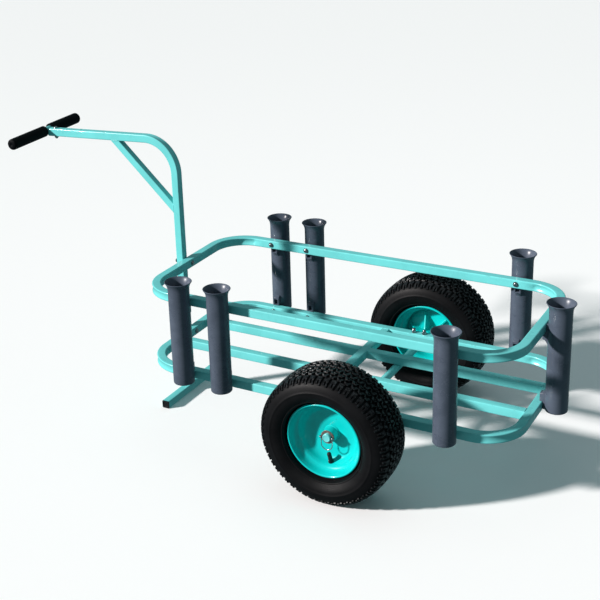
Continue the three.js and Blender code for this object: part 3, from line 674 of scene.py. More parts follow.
# a butt weld that closes each hoop, ground nearly flush, on the rear end, 118 mm off its middle
for shell, z in ((upper, UP_Z), (lower, LOW_Z)):
    ring_sec, _, _ = rounded_square(RAIL / 2 + 0.35, 3.5, 5, 8)
    for dx in (0,):
        path = [(OX + L / 2 - 14, 118 + k, z) for k in (-2.2, -1.2, 0, 1.2, 2.2)]
        secs = np.array([ring_sec * k for k in (0.965, 0.992, 1.0, 0.992, 0.965)])
        sweep(shell, path, np.tile([1.0, 0, 0], (5, 1)), np.tile([0, 0, 1.0], (5, 1)), secs)
make("upper_rail_look", upper, M_FRAME, "frame", "upper_rail")
make("lower_rail_look", lower, M_FRAME, "frame", "lower_rail")

# floor: cross member and slats with their welds
inner_y, inner_x = W / 2 - RAIL, L / 2 - RAIL
s = Shell()
tube_between(s, (OX, -inner_y - 0.6, LOW_Z), (OX, inner_y + 0.6, LOW_Z), 14, 3.2, (1, 0, 0))
for side in (-1, 1):
    y = side * (inner_y - 0.4)
    weld_bead(s, (OX - 12, y, LOW_Z + 13.4), (OX + 12, y, LOW_Z + 13.4), (0, 0, 1), 1.9, seed=5)
    weld_bead(s, (OX - 12, y, LOW_Z - 13.4), (OX + 12, y, LOW_Z - 13.4), (0, 0, -1), 1.9, seed=6)
    for sx in (-1, 1):
        weld_bead(s, (OX + sx * 13.8, y, LOW_Z - 11), (OX + sx * 13.8, y, LOW_Z + 11), (sx, 0, 0), 2.4, seed=7)
make("cross_member_look", s, M_FRAME, "frame", "cross_member")

for name, y, x0, x1 in (
    ("slat_near_front", -87, -inner_x, -14),
    ("slat_near_rear", -87, 14, inner_x),
    ("slat_far_front", 87, -inner_x, -14),
    ("slat_far_rear", 87, 14, inner_x),
):
    s = Shell()
    tube_between(s, (OX + x0 - 0.6, y, LOW_Z), (OX + x1 + 0.6, y, LOW_Z), 14, 3.2, (0, 1, 0))
    for x in (x0 + 0.6, x1 - 0.6):
        for sy in (-1, 1):
            weld_bead(s, (OX + x, y + sy * 13.8, LOW_Z - 11), (OX + x, y + sy * 13.8, LOW_Z + 11), (0, sy, 0), 2.3, seed=int(abs(x)) + sy)
        for sz in (-1, 1):
            weld_bead(s, (OX + x, y - 12, LOW_Z + sz * 13.4), (OX + x, y + 12, LOW_Z + sz * 13.4), (0, 0, sz), 1.8, seed=int(abs(x)) + 9 * sz)
    make(name + "_look", s, M_FRAME, "frame", name)

# ------------------------------------------------------------------------------ mast, arm, brace, foot
MAST_X = OX - 623.3
TILT = math.radians(2.3)
ARM_DIR = np.array([-math.cos(TILT), -math.sin(TILT)])
CORNER_Z, BEND_R, ARM_END = 892.55, 109.0, OX - 1132.0


def mast_path():
    turn = math.pi / 2 + TILT
    tan = BEND_R * math.tan(turn / 2)
    c = np.array([MAST_X - BEND_R, CORNER_Z - tan])
    pts, nrm, bend = [], [], []
    z0, z1 = 26.0, CORNER_Z - tan
    for i in range(0, 24):
        pts.append([MAST_X, z0 + (z1 - z0) * i / 24])
        nrm.append([1.0, 0.0])
        bend.append(0.0)
    n = 30
    for i in range(n + 1):
        t = i / n
        a = turn * t
        pts.append([c[0] + BEND_R * math.cos(a), c[1] + BEND_R * math.sin(a)])
        nrm.append([math.cos(a), math.sin(a)])
        bend.append(float(np.clip(min(t, 1 - t) * BEND_R * turn / 10.0, 0, 1)))
    last = np.array(pts[-1])
    reach = (ARM_END - last[0]) / ARM_DIR[0]
    for i in range(1, 17):
        pts.append(list(last + ARM_DIR * reach * i / 16))
        nrm.append([-ARM_DIR[1], ARM_DIR[0]] if False else [math.cos(turn), math.sin(turn)])
        bend.append(0.0)
    return np.array(pts), np.array(nrm), np.array(bend)


mp, mn, mb = mast_path()
n = len(mp)
path = np.stack([mp[:, 0], np.zeros(n), mp[:, 1]], 1)
us = np.stack([mn[:, 0], np.zeros(n), mn[:, 1]], 1)
vs = np.tile([0.0, 1.0, 0.0], (n, 1))
msec, minfo, mwear = rounded_square(13.0, 3.0, 5, 8)
isec, _, _ = rounded_square(11.0, 1.4, 5, 8)
secs = np.repeat(msec[None], n, 0)
isecs = np.repeat(isec[None], n, 0)
for j, (q, t) in enumerate(minfo):
    if q == 0:
        secs[:, j, 0] -= 1.1 * mb * (1 - t * t)
        isecs[:, j, 0] -= 1.1 * mb * (1 - t * t)
    if q == 2:
        secs[:, j, 0] += 1.6 * mb * (1 - t * t)
        isecs[:, j, 0] += 1.6 * mb * (1 - t * t)
s = Shell()
sweep(s, path, us, vs, secs, wear=mwear, inner=isecs)
weld_ring(s, (MAST_X, 0, 26.4), 13.0, 12.0, (1, 0, 0), (0, 1, 0), (0, 0, 1), 1.9, 31)
make("mast_look", s, M_FRAME, "frame", "mast")

# brace, mitred to the mast and to the arm
LOWP, HIGHP = np.array([OX - 636.3, 663.5]), np.array([OX - 853.6, 870.6])
d = (HIGHP - LOWP) / np.linalg.norm(HIGHP - LOWP)
nrm = np.array([-d[1], d[0]])
bsec, _, bwear = rounded_square(12.0, 2.6, 5, 4)
slope = ARM_DIR[1] / ARM_DIR[0]
ends = [[], []]
for p in bsec:
    a = LOWP + nrm * p[0]
    t0 = (LOWP[0] + 0.6 - a[0]) / d[0]
    t1 = (HIGHP[1] + 0.6 + slope * (a[0] - HIGHP[0]) - a[1]) / (d[1] - slope * d[0])
    for k, t in enumerate((t0, t1)):
        q = a + d * t
        ends[k].append([q[0], p[1], q[1]])
s = Shell()
m = len(bsec)
v = np.array(ends[0] + ends[1])
faces = grid_faces(2, m) + [tuple(reversed(range(m))), tuple(range(m, 2 * m))]
closed_part(s, v, faces, np.tile(bwear, 2))


def brace_edge(k, side):
    rows = np.array(ends[k])
    i = np.argmax(rows[:, 0] + rows[:, 2] if side > 0 else -(rows[:, 0] + rows[:, 2]))
    return rows[i]


for k in (0, 1):
    for side in (-1, 1):
        e = brace_edge(k, side)
        weld_bead(s, (e[0], -9.5, e[2]), (e[0], 9.5, e[2]), (side, 0, side * 0.2), 2.1, seed=41 + k)
    a, b = brace_edge(k, -1), brace_edge(k, 1)
    for sy in (-1, 1):
        p0, p1 = np.array([a[0], sy * 11.7, a[2]]), np.array([b[0], sy * 11.7, b[2]])
        weld_bead(s, p0 * 0.96 + p1 * 0.04, p1 * 0.96 + p0 * 0.04, (0, sy, 0), 1.8, seed=47 + k)
make("brace_look", s, M_FRAME, "frame", "brace")

FOOT = 152.5
s = Shell()
tube_between(s, (MAST_X, -FOOT + 3.3, 13.0), (MAST_X, FOOT - 3.3, 13.0), 13.0, 3.0, (1, 0, 0), inner=11.0, steps=10)
make("foot_bar_look", s, M_FRAME, "frame", "foot_bar")

for side, node in ((-1, "foot_cap_near"), (1, "foot_cap_far")):
    s = Shell()
    # moulded cap: a rounded rim round a sunk face with a small round gate mark in its middle
    outer, _, _ = rounded_square(13.0, 3.0, 5, 2)
    stages = [
        (-3.0, 1.0), (-1.0, 1.0), (-0.2, 0.975), (0.0, 0.93), (0.0, 0.80), (-0.4, 0.77), (-1.9, 0.745), (-2.1, 0.70),
    ]
    m = len(outer)
    v, faces = [], []
    for yy, k in stages:
        v += [[MAST_X + p[0] * k, side * (FOOT + yy), 13.0 + p[1] * k] for p in outer]
    faces = grid_faces(len(stages), m)
    faces += [tuple(reversed(range(m))), tuple(range((len(stages) - 1) * m, len(stages) * m))]
    closed_part(s, v, faces)
    plug = sorted((side * (FOOT - 17), side * (FOOT - 2.8)))
    rounded_box(s, (MAST_X - 10.6, plug[0], 2.4), (MAST_X + 10.6, plug[1], 23.6), 1.0)
    lathe(
        s,
        fillet_profile([(0, 0), (4.2, 0), (4.2, 1.6), (3.2, 1.6), (3.2, 1.0), (0, 1.0)], 0.25, 2),
        28,
        shift(MAST_X, side * (FOOT - 2.4), 13.0) @ rot((1, 0, 0), 90 if side < 0 else -90),
    )
    make(node + "_look", s, M_CAP, "frame", node)

# ------------------------------------------------------------------------------ T grip
TB = np.array([OX - 1146.5, 875.0])
ON_ARM = shift(TB[0], 0, TB[1]) @ rot((0, 1, 0), -2.3) @ rot((1, 0, 0), 1.3)
stub_drop = (CORNER_Z - (MAST_X - TB[0]) * slope) - TB[1]
s = Shell()
lathe(
    s,
    fillet_profile([(9.5, -179), (12, -179), (12, 158), (9.5, 158)], 0.6, 2),
    40,
    ON_ARM @ rot((1, 0, 0), -90),
)
stub = Shell()
rounded_box(stub, (4, -10, stub_drop - 10), (84, 10, stub_drop + 10), 1.6)
s.join(stub, ON_ARM)
# weld where the round bar meets the stub
for sy in (-1, 1):
    w = Shell()
    weld_bead(w, (9.5, sy * 10.2, stub_drop - 8), (9.5, sy * 10.2, stub_drop + 8), (0, sy, 0), 1.8, seed=51)
    s.join(w, ON_ARM)
make("grip_bar_look", s, M_FRAME, "frame", "grip_bar")


def grip_shell(start, end):
    """Foam sleeve with a soft inner lip, faint finger waists and a domed closed end."""
    length = abs(end - start)
    prof = [(12.4, 0.6), (14.0, 0.0), (17.6, 0.4), (18.7, 2.2)]
    steps = 40
    for i in range(1, steps):
        z = 3 + (length - 12) * i / steps
        prof.append((18.78 + 0.16 * math.sin(z * 0.55) * math.sin(z * 0.13), z))
    prof += [(18.8, length - 9), (18.6, length - 6.5), (17.6, length - 3.6), (15.8, length - 1.7), (13.2, length - 0.6), (9.0, length - 0.1), (6.0, length)]
    # a shallow moulded dimple in the end
    prof += [(4.6, length - 0.2), (3.8, length - 1.0), (2.0, length - 1.4), (0, length - 1.5)]
    prof = [(0, length - 8.0), (12.4, length - 8.0)] + [(12.4, length * 0.5)] + prof
    return prof


for node, a, b in (("grip_near", -14.0, -187.0), ("grip_far", 14.0, 166.0)):
    s = Shell()
    lathe(s, grip_shell(a, b), 48, ON_ARM @ shift(0, a, 0) @ rot((1, 0, 0), 90 if b < a else -90))
    make(node + "_look", s, M_GRIP, "frame", node, 50)


# ------------------------------------------------------------------------------ fasteners
def hex_prism(s, af, z0, z1, matrix, chamfer=0.9, bore=None, phase=0.0):
    """A hexagon with its corners turned down at both ends, as on a real nut."""
    n = 48
    a = 2 * np.pi * np.arange(n) / n + phase
    apothem = af / 2
    rim = apothem / np.cos((a % (np.pi / 3)) - np.pi / 6)
    turned = np.minimum(rim, apothem * 1.04)
    rows = []
    for z, r in (
        (z0, turned * 0.985),
        (z0 + chamfer * 0.6, np.minimum(rim, apothem * 1.11)),
        (z0 + chamfer, rim * 0.995),
        (z1 - chamfer, rim * 0.995),
        (z1 - chamfer * 0.6, np.minimum(rim, apothem * 1.11)),
        (z1, turned * 0.985),
    ):
        rows.append(np.stack([r * np.cos(a), r * np.sin(a), np.full(n, z)], 1))
    if bore:
        for z, r in ((z1, bore + 0.5), (z1 - 0.6, bore), (z0 + 0.6, bore), (z0, bore + 0.5)):
            rows.append(np.stack([r * np.cos(a), r * np.sin(a), np.full(n, z)], 1))
    v = np.concatenate(rows)
    faces = grid_faces(len(rows), n, close_rings=bool(bore))
    if not bore:
        faces += [tuple(reversed(range(n))), tuple(range((len(rows) - 1) * n, len(rows) * n))]
    part = Shell()
    closed_part(part, v, faces)
    s.join(part, matrix)


def threaded_end(s, radius, z0, z1, matrix, pitch=1.25):
    """A threaded stud drawn as close rings, with a chamfered tip at z1."""
    prof = [(0, z0), (radius - 0.55, z0)]
    z, up = z0, True
    step = pitch / 2 if z1 > z0 else -pitch / 2
    while abs(z1 - z) > pitch * 1.2:
        z += step
        prof.append((radius - (0.0 if up else 0.62), z))
        up = not up
    prof += [(radius - 0.9, z1), (0, z1)]
    part = Shell()
    lathe(part, prof, 20)
    s.join(part, matrix)


def dome_fastener(s, matrix, shank, washer_r=8.5):
    """Washer, hexagon and domed cap above z = 0, a shank below."""
    part = Shell()
    lathe(part, closed_fillet([(4.2, 0.02), (washer_r, 0.02), (washer_r, 1.5), (4.2, 1.5)], 0.35, 2), 36)
    s.join(part, matrix)
    hex_prism(s, 12.6, 1.5, 4.2, matrix, 0.5)
    dome = [(0, 1.6)] + [(5.9 * math.cos(t), 3.6 + 2.9 * math.sin(t)) for t in np.linspace(0, math.pi / 2, 9)[:-1]]
    dome = [(0, 1.6), (5.9, 1.6)] + dome[1:] + [(0, 6.5)]
    part = Shell()
    lathe(part, dome, 32)
    s.join(part, matrix)
    part = Shell()
    lathe(part, [(0, -shank), (3.4, -shank), (4.0, -shank + 0.8), (4.0, 1.0), (0, 1.0)], 20)
    s.join(part, matrix)


s = Shell()
bolt_at = (GB := (OX - 1108.0) - TB[0]) / math.cos(TILT)
top = ON_ARM @ shift(bolt_at, 0, stub_drop + 13.0)
dome_fastener(s, top, 36.0, 7.0)
under = ON_ARM @ shift(bolt_at, 0, stub_drop - 13.0) @ rot((1, 0, 0), 180)
hex_prism(s, 12.8, 0.0, 6.4, under, 0.7, 3.9)
threaded_end(s, 4.0, 0.0, 9.6, under)
make("grip_bolt_look", s, M_STEEL, "frame", "grip_bolt")

for node, z in (("mast_bolt_upper", UP_Z), ("mast_bolt_lower", LOW_Z)):
    s = Shell()
    dome_fastener(s, shift(OX - L / 2 + RAIL, 0, z) @ rot((0, 1, 0), 90), 60.0)
    out = shift(MAST_X - 13.0, 0, z) @ rot((0, 1, 0), -90)
    part = Shell()
    lathe(part, closed_fillet([(4.2, 0.0), (8.5, 0.0), (8.5, 1.5), (4.2, 1.5)], 0.35, 2), 36)
    s.join(part, out)
    hex_prism(s, 12.8, 1.5, 8.0, out, 0.8, 3.9)
    threaded_end(s, 4.0, 1.0, 11.0, out)
    make(node + "_look", s, M_STEEL, "frame", node)

# ------------------------------------------------------------------------------ rod holders
HOLDERS = {
    1: (-425, -319.5, 90), 2: (-289, -319.5, 90), 3: (-425, 319.5, -90), 4: (-291, 319.5, -90),
    5: (433, 319.5, -90), 6: (647.5, -8, 180), 7: (428, -319.5, 90),
}
TOP, BOT = 556.0, 220.0


def holder_profile():
    outer = [
        (8.0, BOT + 0.6), (9.0, BOT), (29.0, BOT), (31.3, BOT + 0.7), (32.6, BOT + 2.3), (33.0, BOT + 5.0),
        (33.0, BOT + 120), (33.0, TOP - 60), (33.0, TOP - 29), (33.15, TOP - 25), (33.5, TOP - 21), (34.2, TOP - 17),
        (35.3, TOP - 13), (36.8, TOP - 9.4), (38.5, TOP - 6.4), (40.2, TOP - 4.0), (41.4, TOP - 2.6), (41.95, TOP - 1.6),
        (41.9, TOP - 0.7), (41.3, TOP - 0.1), (40.6, TOP),
    ]
    inner = [
        (39.8, TOP - 0.5), (38.3, TOP - 2.2), (36.5, TOP - 4.6), (34.6, TOP - 7.8), (32.8, TOP - 11.8), (31.2, TOP - 16.2),
        (29.9, TOP - 21.0), (29.0, TOP - 25.6), (28.5, TOP - 30), (28.5, TOP - 100), (28.5, BOT + 110), (28.5, BOT + 9), (27.6, BOT + 6.2),
        (25.6, BOT + 5.0), (9.0, BOT + 5.0), (8.0, BOT + 4.4),
    ]
    return outer + inner


def pad_shell(points, width, radius):
    """An L-shaped lug: a side-view outline extruded across, with rounded edges."""
    outline = closed_fillet(points, radius, 3)
    area = 0.0
    for i in range(len(outline)):
        (x0, z0), (x1, z1) = outline[i - 1], outline[i]
        area += x0 * z1 - x1 * z0
    if area < 0:
        outline = outline[::-1]
    o = np.array(outline)
    c = o.mean(0)

    def inset(k):
        a = np.roll(o, 1, 0)
        b = np.roll(o, -1, 0)
        t = b - a
        nn = np.stack([t[:, 1], -t[:, 0]], 1)
        nn /= np.linalg.norm(nn, axis=1)[:, None] + 1e-9
        return o - nn * k

    rows = []
    for y, k in ((-width / 2, 0.9), (-width / 2 + 0.3, 0.35), (-width / 2 + 0.9, 0), (width / 2 - 0.9, 0), (width / 2 - 0.3, 0.35), (width / 2, 0.9)):
        q = inset(k)
        rows.append(np.stack([q[:, 0], np.full(len(q), y), q[:, 1]], 1))
    v = np.concatenate(rows)
    m = len(o)
    faces = grid_faces(len(rows), m)
    faces += [tuple(reversed(range(m))), tuple(range((len(rows) - 1) * m, len(rows) * m))]
    part = Shell()
    closed_part(part, v, faces)
    return part


def pocket_box(s, x0, x1, y, z0, z1, wall=4.6):
    """A square hollow box open on its +X face, made of four walls and a back, with a drafted pocket."""
    def ring(x, hy, a, b):
        pts = closed_fillet([(-hy, a), (hy, a), (hy, b), (-hy, b)], 1.4, 3)
        return [[x, p[0], p[1]] for p in pts]

    hy = y
    rows = [
        ring(x0, hy, z0, z1), ring(x1 - 0.9, hy, z0, z1), ring(x1 - 0.25, hy - 0.3, z0 + 0.3, z1 - 0.3), ring(x1, hy - 0.9, z0 + 0.9, z1 - 0.9),
        ring(x1, hy - wall + 0.5, z0 + 3.4, z1 - 3.4), ring(x1 - 0.6, hy - wall, z0 + 3.9, z1 - 3.9), ring(x1 - 13, hy - wall - 0.6, z0 + 4.5, z1 - 4.5),
    ]
    m = len(rows[0])
    v = np.array([p for r in rows for p in r])
    faces = grid_faces(len(rows), m)
    faces += [tuple(reversed(range(m))), tuple(range((len(rows) - 1) * m, len(rows) * m))]
    closed_part(s, v, faces)


def make_holder(k, x, y, turn):
    place = shift(OX + x, y, 0) @ rot((0, 0, 1), turn)
    s = Shell()
    tube = Shell()
    lathe(tube, holder_profile(), 72)
    v = tube.v[0]
    s.join(tube, place)
    lugs = Shell()
    up, dn = 490 - 28 - 0.15, 244 + 0.15
    # the pads that lie against the hoop's outer face
    lugs.join(pad_shell([(27.5, up - 2), (37.3, up - 2), (37.3, 486.0), (36.2, 487.6), (27.5, 487.6)], 22, 0.9))
    lugs.join(pad_shell([(27.5, dn + 2), (37.3, dn + 2), (37.3, 221.4), (35.5, 220.4), (27.5, 220.4)], 22, 0.9))
    # the square hollow lugs under the upper hoop and over the lower hoop, faired into the tube
    pocket_box(lugs, 27.0, 46.5, 11.0, up - 23, up)
    pocket_box(lugs, 27.0, 46.5, 11.0, dn, dn + 26)
    lugs.join(pad_shell([(27.5, up - 38), (31.5, up - 38), (42.0, up - 22.2), (42.0, up - 20), (27.5, up - 20)], 18, 0.9))
    lugs.join(pad_shell([(27.5, dn + 37), (29.5, dn + 37), (42.0, dn + 27.0), (42.0, dn + 23), (27.5, dn + 23)], 18, 0.9))
    s.join(lugs, place)
    make(f"rod_holder_{k}_look", s, M_HOLDER, "frame", f"rod_holder_{k}", 34)
    for level, z in (("upper", UP_Z), ("lower", LOW_Z)):
        b = Shell()
        dome_fastener(b, place @ shift(37.5 + RAIL, 0, z) @ rot((0, 1, 0), 90), 34.0)
        make(f"holder_bolt_{k}_{level}_look", b, M_STEEL, "frame", f"holder_bolt_{k}_{level}")


for k, (x, y, turn) in HOLDERS.items():
    make_holder(k, x, y, turn)

# ------------------------------------------------------------------------------ axle and its U-bolts
s = Shell()
half = [(12.5, 0), (12.5, 318.4), (14.6, 320.2), (18.4, 321.0), (19.0, 321.6), (19.0, 326.4), (18.4, 327.0), (12.5, 327.0), (12.5, 414.6), (12.1, 415.8), (10.9, 416.8), (10.3, 417.0), (9.6, 416.7), (8.6, 416.35), (4.0, 416.2), (0, 416.2)]
prof = [(r, -z) for r, z in reversed(half[1:])] + half
lathe(s, prof, 48, shift(WHEEL_X, 0, WHEEL_Z) @ rot((1, 0, 0), -90))
make("axle_look", s, M_FRAME, "frame", "axle")


def wire_u(s, radius, wire, top, matrix, sides=14, drop=0.0, bend_steps=26):
    pts, nrm = [], []
    for i in range(9):
        z = top + (drop - top) * i / 8
        pts.append([-radius, 0, z]); nrm.append([-1, 0, 0])
    for i in range(1, bend_steps):
        a = math.pi * (1 + i / bend_steps)
        pts.append([radius * math.cos(a), 0, drop + radius * math.sin(a)])
        nrm.append([math.cos(a), 0, math.sin(a)])
    for i in range(9):
        z = drop + (top - drop) * i / 8
        pts.append([radius, 0, z]); nrm.append([1, 0, 0])
    part = Shell()
    sweep(part, pts, nrm, np.tile([0.0, 1.0, 0.0], (len(pts), 1)), circle(wire, sides))
    s.join(part, matrix)


for side, node in ((-1, "u_bolt_near"), (1, "u_bolt_far")):
    s = Shell()
    at = shift(WHEEL_X, side * (W / 2 - 14), WHEEL_Z)
    wire_u(s, 18.0, 4.0, 40.0, at)
    for dx in (-18, 18):
        base = at @ shift(dx, 0, 244.0 - WHEEL_Z)
        part = Shell()
        lathe(part, closed_fillet([(4.3, 0.0), (8.4, 0.0), (8.4, 1.4), (4.3, 1.4)], 0.3, 2), 32)
        s.join(part, base)
        hex_prism(s, 13.0, 1.4, 8.2, base, 0.8, None, 0.3 * dx)
        cap = [(0, 6.0), (5.9, 6.0), (5.95, 9.6)] + [(6.0 * math.cos(t), 10.0 + 6.0 * math.sin(t)) for t in np.linspace(0, math.pi / 2, 10)[:-1]] + [(0, 16.0)]
        part = Shell()
        lathe(part, cap, 32)
        s.join(part, base)
        part = Shell()
        lathe(part, [(0, -2.0), (4.0, -2.0), (4.0, 3.0), (0, 3.0)], 20)
        s.join(part, base)
    make(node + "_look", s, M_STEEL, "frame", node)

# ------------------------------------------------------------------------------ wheels
N_LUG = 56


def tyre_line():
    """Outer half section of the carcass under the lugs, from bead to crown, as [r, s]."""
    pts = [
        (106.3, 38.0), (106.4, 46.2), (107.8, 48.4), (110.6, 49.6), (114.4, 50.2), (117.2, 51.4), (119.2, 54.6), (120.6, 59.4),
        (121.8, 63.6), (123.4, 67.2), (124.6, 70.2), (126.2, 71.0), (127.8, 70.7), (129.2, 71.9), (133.0, 75.0),
        (138.5, 78.6), (145.0, 81.4), (151.0, 82.9), (156.5, 83.2), (158.0, 84.0), (159.6, 84.0), (161.0, 83.0), (166.0, 82.0), (171.5, 80.4), (176.5, 78.3),
        (181.5, 75.6), (186.0, 72.0), (189.8, 67.6), (192.6, 62.0), (194.4, 54.0), (195.6, 44.0), (196.3, 32.0), (196.7, 18.0), (196.8, 0.0),
    ]
    return pts


def surface_line():
    """The line that the lugs' tops follow, from mid sidewall to the crown."""
    return np.array([
        (163.5, 83.4), (168.0, 83.0), (173.0, 82.0), (178.0, 80.4), (183.0, 78.2), (188.0, 75.2), (192.5, 71.2), (195.9, 66.0),
        (198.4, 59.5), (200.2, 51.0), (201.6, 41.0), (202.5, 30.0), (203.0, 18.0), (203.2, 0.0),
    ])


SURF = surface_line()
_d = np.r_[0, np.cumsum(np.linalg.norm(np.diff(SURF, axis=0), axis=1))]
HALF_ARC = _d[-1]


def on_surface(u):
    """Point [r, s] and outward normal at u mm from the crown's middle, negative on the far half."""
    d = HALF_ARC - min(abs(u), HALF_ARC)
    r = np.interp(d, _d, SURF[:, 0])
    z = np.interp(d, _d, SURF[:, 1])
    e = 1.0
    r1, z1 = np.interp(min(d + e, HALF_ARC), _d, SURF[:, 0]), np.interp(min(d + e, HALF_ARC), _d, SURF[:, 1])
    r0, z0 = np.interp(max(d - e, 0), _d, SURF[:, 0]), np.interp(max(d - e, 0), _d, SURF[:, 1])
    t = np.array([r1 - r0, z1 - z0])
    t /= np.linalg.norm(t)
    nr, nz = t[1], -t[0]
    # outward: towards larger r at the crown, towards larger s on the sidewall
    nr, nz = (-nr, -nz) if (nr < 0 and r > 195) or nz < -0.01 else (nr, nz)
    if nr < 0 and nz < 0.2:
        nr, nz = -nr, -nz
    sgn = 1 if u >= 0 else -1
    return r, z * sgn, nr, nz * sgn


def lug(s, centre, outline, depth, top_in=1.1, rows=1, dust=1.0):
    """One rubber lug. centre = (angle, u); outline = list of (a mm along the tread, u mm across), anticlockwise.
    The lug's walls lean in by top_in from its root to its top."""
    ang0, u0 = centre
    pts = np.array(outline, float)
    c = pts.mean(0)
    m = len(pts)
    layers = []
    for k, (h, inset) in enumerate(((-depth - 0.8, -0.5), (-1.0, top_in * 0.75), (0.0, top_in + 0.75))):
        row = []
        for p in pts:
            q = p - c
            ln = np.linalg.norm(q)
            q = c + q * max(0.1, (ln - inset) / ln)
            r, z, nr, nz = on_surface(u0 + q[1])
            ang = ang0 + q[0] / 200.0
            rr, zz = r + nr * h, z + nz * h
            row.append([rr * math.cos(ang), rr * math.sin(ang), zz])
        layers.append(row)
    v = np.array([p for row in layers for p in row])
    faces = grid_faces(3, m) + [tuple(reversed(range(m))), tuple(range(2 * m, 3 * m))]
    if signed_volume(v, faces) < 0:
        faces = flip(faces)
    # wear rises from the lug's root to its top; the tyre material paints the tops paler and bluish from it, partly
    # dust and partly a painted sky reflection
    s.add(v, faces, np.r_[np.zeros(m), np.full(m, 0.6 * dust), np.full(m, dust)])


def ladder(x0, x1, u0, u1, w0, w1, bow=0.0, n=5):
    """Outline of a bar lug from u0 to u1, its middle line running from x0 to x1 and bowed."""
    left, right = [], []
    for i in range(n + 1):
        t = i / n
        u = u0 + (u1 - u0) * t
        x = x0 + (x1 - x0) * t + bow * math.sin(math.pi * t)
        w = (w0 + (w1 - w0) * t) / 2
        left.append((x - w, u))
        right.append((x + w, u))
    return right + left[::-1]


def tyre_shell(direction):
    s = Shell()
    line = tyre_line()
    outer = line + [(r, -z) for r, z in reversed(line[:-1])]
    inside = [(106.3, -38), (109, -39.5), (124, -60), (148, -74), (172, -70), (186, -54), (190, -30), (190.6, 0), (190, 30), (186, 54), (172, 70), (148, 74), (124, 60), (109, 39.5)]
    prof = outer + inside[1:]
    lathe(s, prof, 144)
    pitch = 2 * math.pi / N_LUG
    mm = 2 * math.pi * 200 / N_LUG  # pitch along the tread
    for i in range(N_LUG):
        a = i * pitch
        for side in (-1, 1):
            ac = a + (0.0 if side > 0 else 0.5) * pitch

            def block(x0, x1, u0, u1, w0, w1, at=0.0, deep=6.2, lean=1.1, bow=0.0, n=4):
                pts = [(x, side * u) for x, u in ladder(x0, x1, u0, u1, w0, w1, bow, n)]
                lug(s, (ac + at * pitch, 0), pts, deep, lean)

            # shoulder: a broad block that parts into a long and a short rib down the sidewall
            block(0.6, 0.0, 49.5, 66.0, 17.4, 16.6, n=5)
            block(-4.7, -4.6, 62.0, 84.0, 7.2, 6.2, n=7)
            block(4.7, 4.6, 62.0, 78.5, 7.2, 6.4, n=6)
            # second row: slanted blocks with a foot that hooks back
            block(-3.6, 2.6, 31.5, 46.6, 9.2, 8.6, 0.48, lean=0.9)
            block(4.4, 7.6, 38.0, 46.6, 5.2, 4.6, 0.48, lean=0.7, n=2)
            block(2.4, -2.4, 29.4, 40.5, 5.4, 4.6, 0.02, lean=0.7, n=3)
            # third row, slanted the other way
            block(3.4, -3.0, 12.6, 26.4, 9.6, 9.0, 0.14, lean=0.9)
            block(-5.4, -7.2, 12.6, 19.5, 5.0, 4.6, 0.14, lean=0.7, n=2)
            block(-2.2, 2.2, 15.0, 26.0, 5.0, 4.4, 0.66, lean=0.7, n=3)
        # crown: short slanted keys
        lug(s, (a + 0.40 * pitch, 0), ladder(-3.6, 3.6, -9.2, 9.2, 9.8, 9.8, 0.0, 4), 6.0, 1.0)
        lug(s, (a + 0.92 * pitch, 0), ladder(2.6, -2.6, -7.4, 7.4, 5.6, 5.6, 0.0, 3), 5.8, 0.8)
    return s


def rim_profile():
    """Pressed rim with rolled lips and a dished disc faired into its outboard side, one closed outline of [r, s]."""
    skin = [
        (90.2, 12.0), (90.4, 24.0), (91.6, 28.0), (95.2, 31.6), (101.5, 36.2), (105.0, 39.0), (105.6, 42.0), (106.0, 46.8),
        (107.3, 49.8), (109.4, 51.6), (111.2, 52.1), (113.6, 52.6), (115.1, 54.4), (115.3, 55.6), (115.1, 56.8), (113.6, 58.6), (111.8, 59.1), (110.0, 58.6),
    ]
    wall = [
        (108.5, 56.8), (108.2, 55.0), (107.3, 52.4), (106.4, 49.6), (105.8, 47.0), (104.6, 43.0), (103.0, 39.2), (100.2, 35.6), (96.2, 32.0),
        (92.6, 28.8), (90.0, 25.4), (88.4, 21.6),
    ]
    disc = [
        (86.9, 17.6), (84.9, 13.4), (82.2, 9.6), (78.8, 6.2), (74.6, 3.6), (69.8, 1.9), (64.0, 0.9), (50.0, 0.3), (22.6, 0.2), (21.4, -0.6),
        (21.4, -3.6), (22.6, -4.4), (62.0, -4.0), (70.0, -3.4), (76.0, -1.9), (80.8, 0.9), (84.2, 4.8), (86.0, 8.8), (86.5, 10.6), (86.9, 6.0),
    ]
    back = [(87.0, -16.0), (88.4, -21.6)] + [(r, -z) for r, z in reversed(wall[:-1])]
    return skin + wall + disc + back + [(r, -z) for r, z in reversed(skin)]


HUB_IN, HUB_OUT = -50.0, 27.5

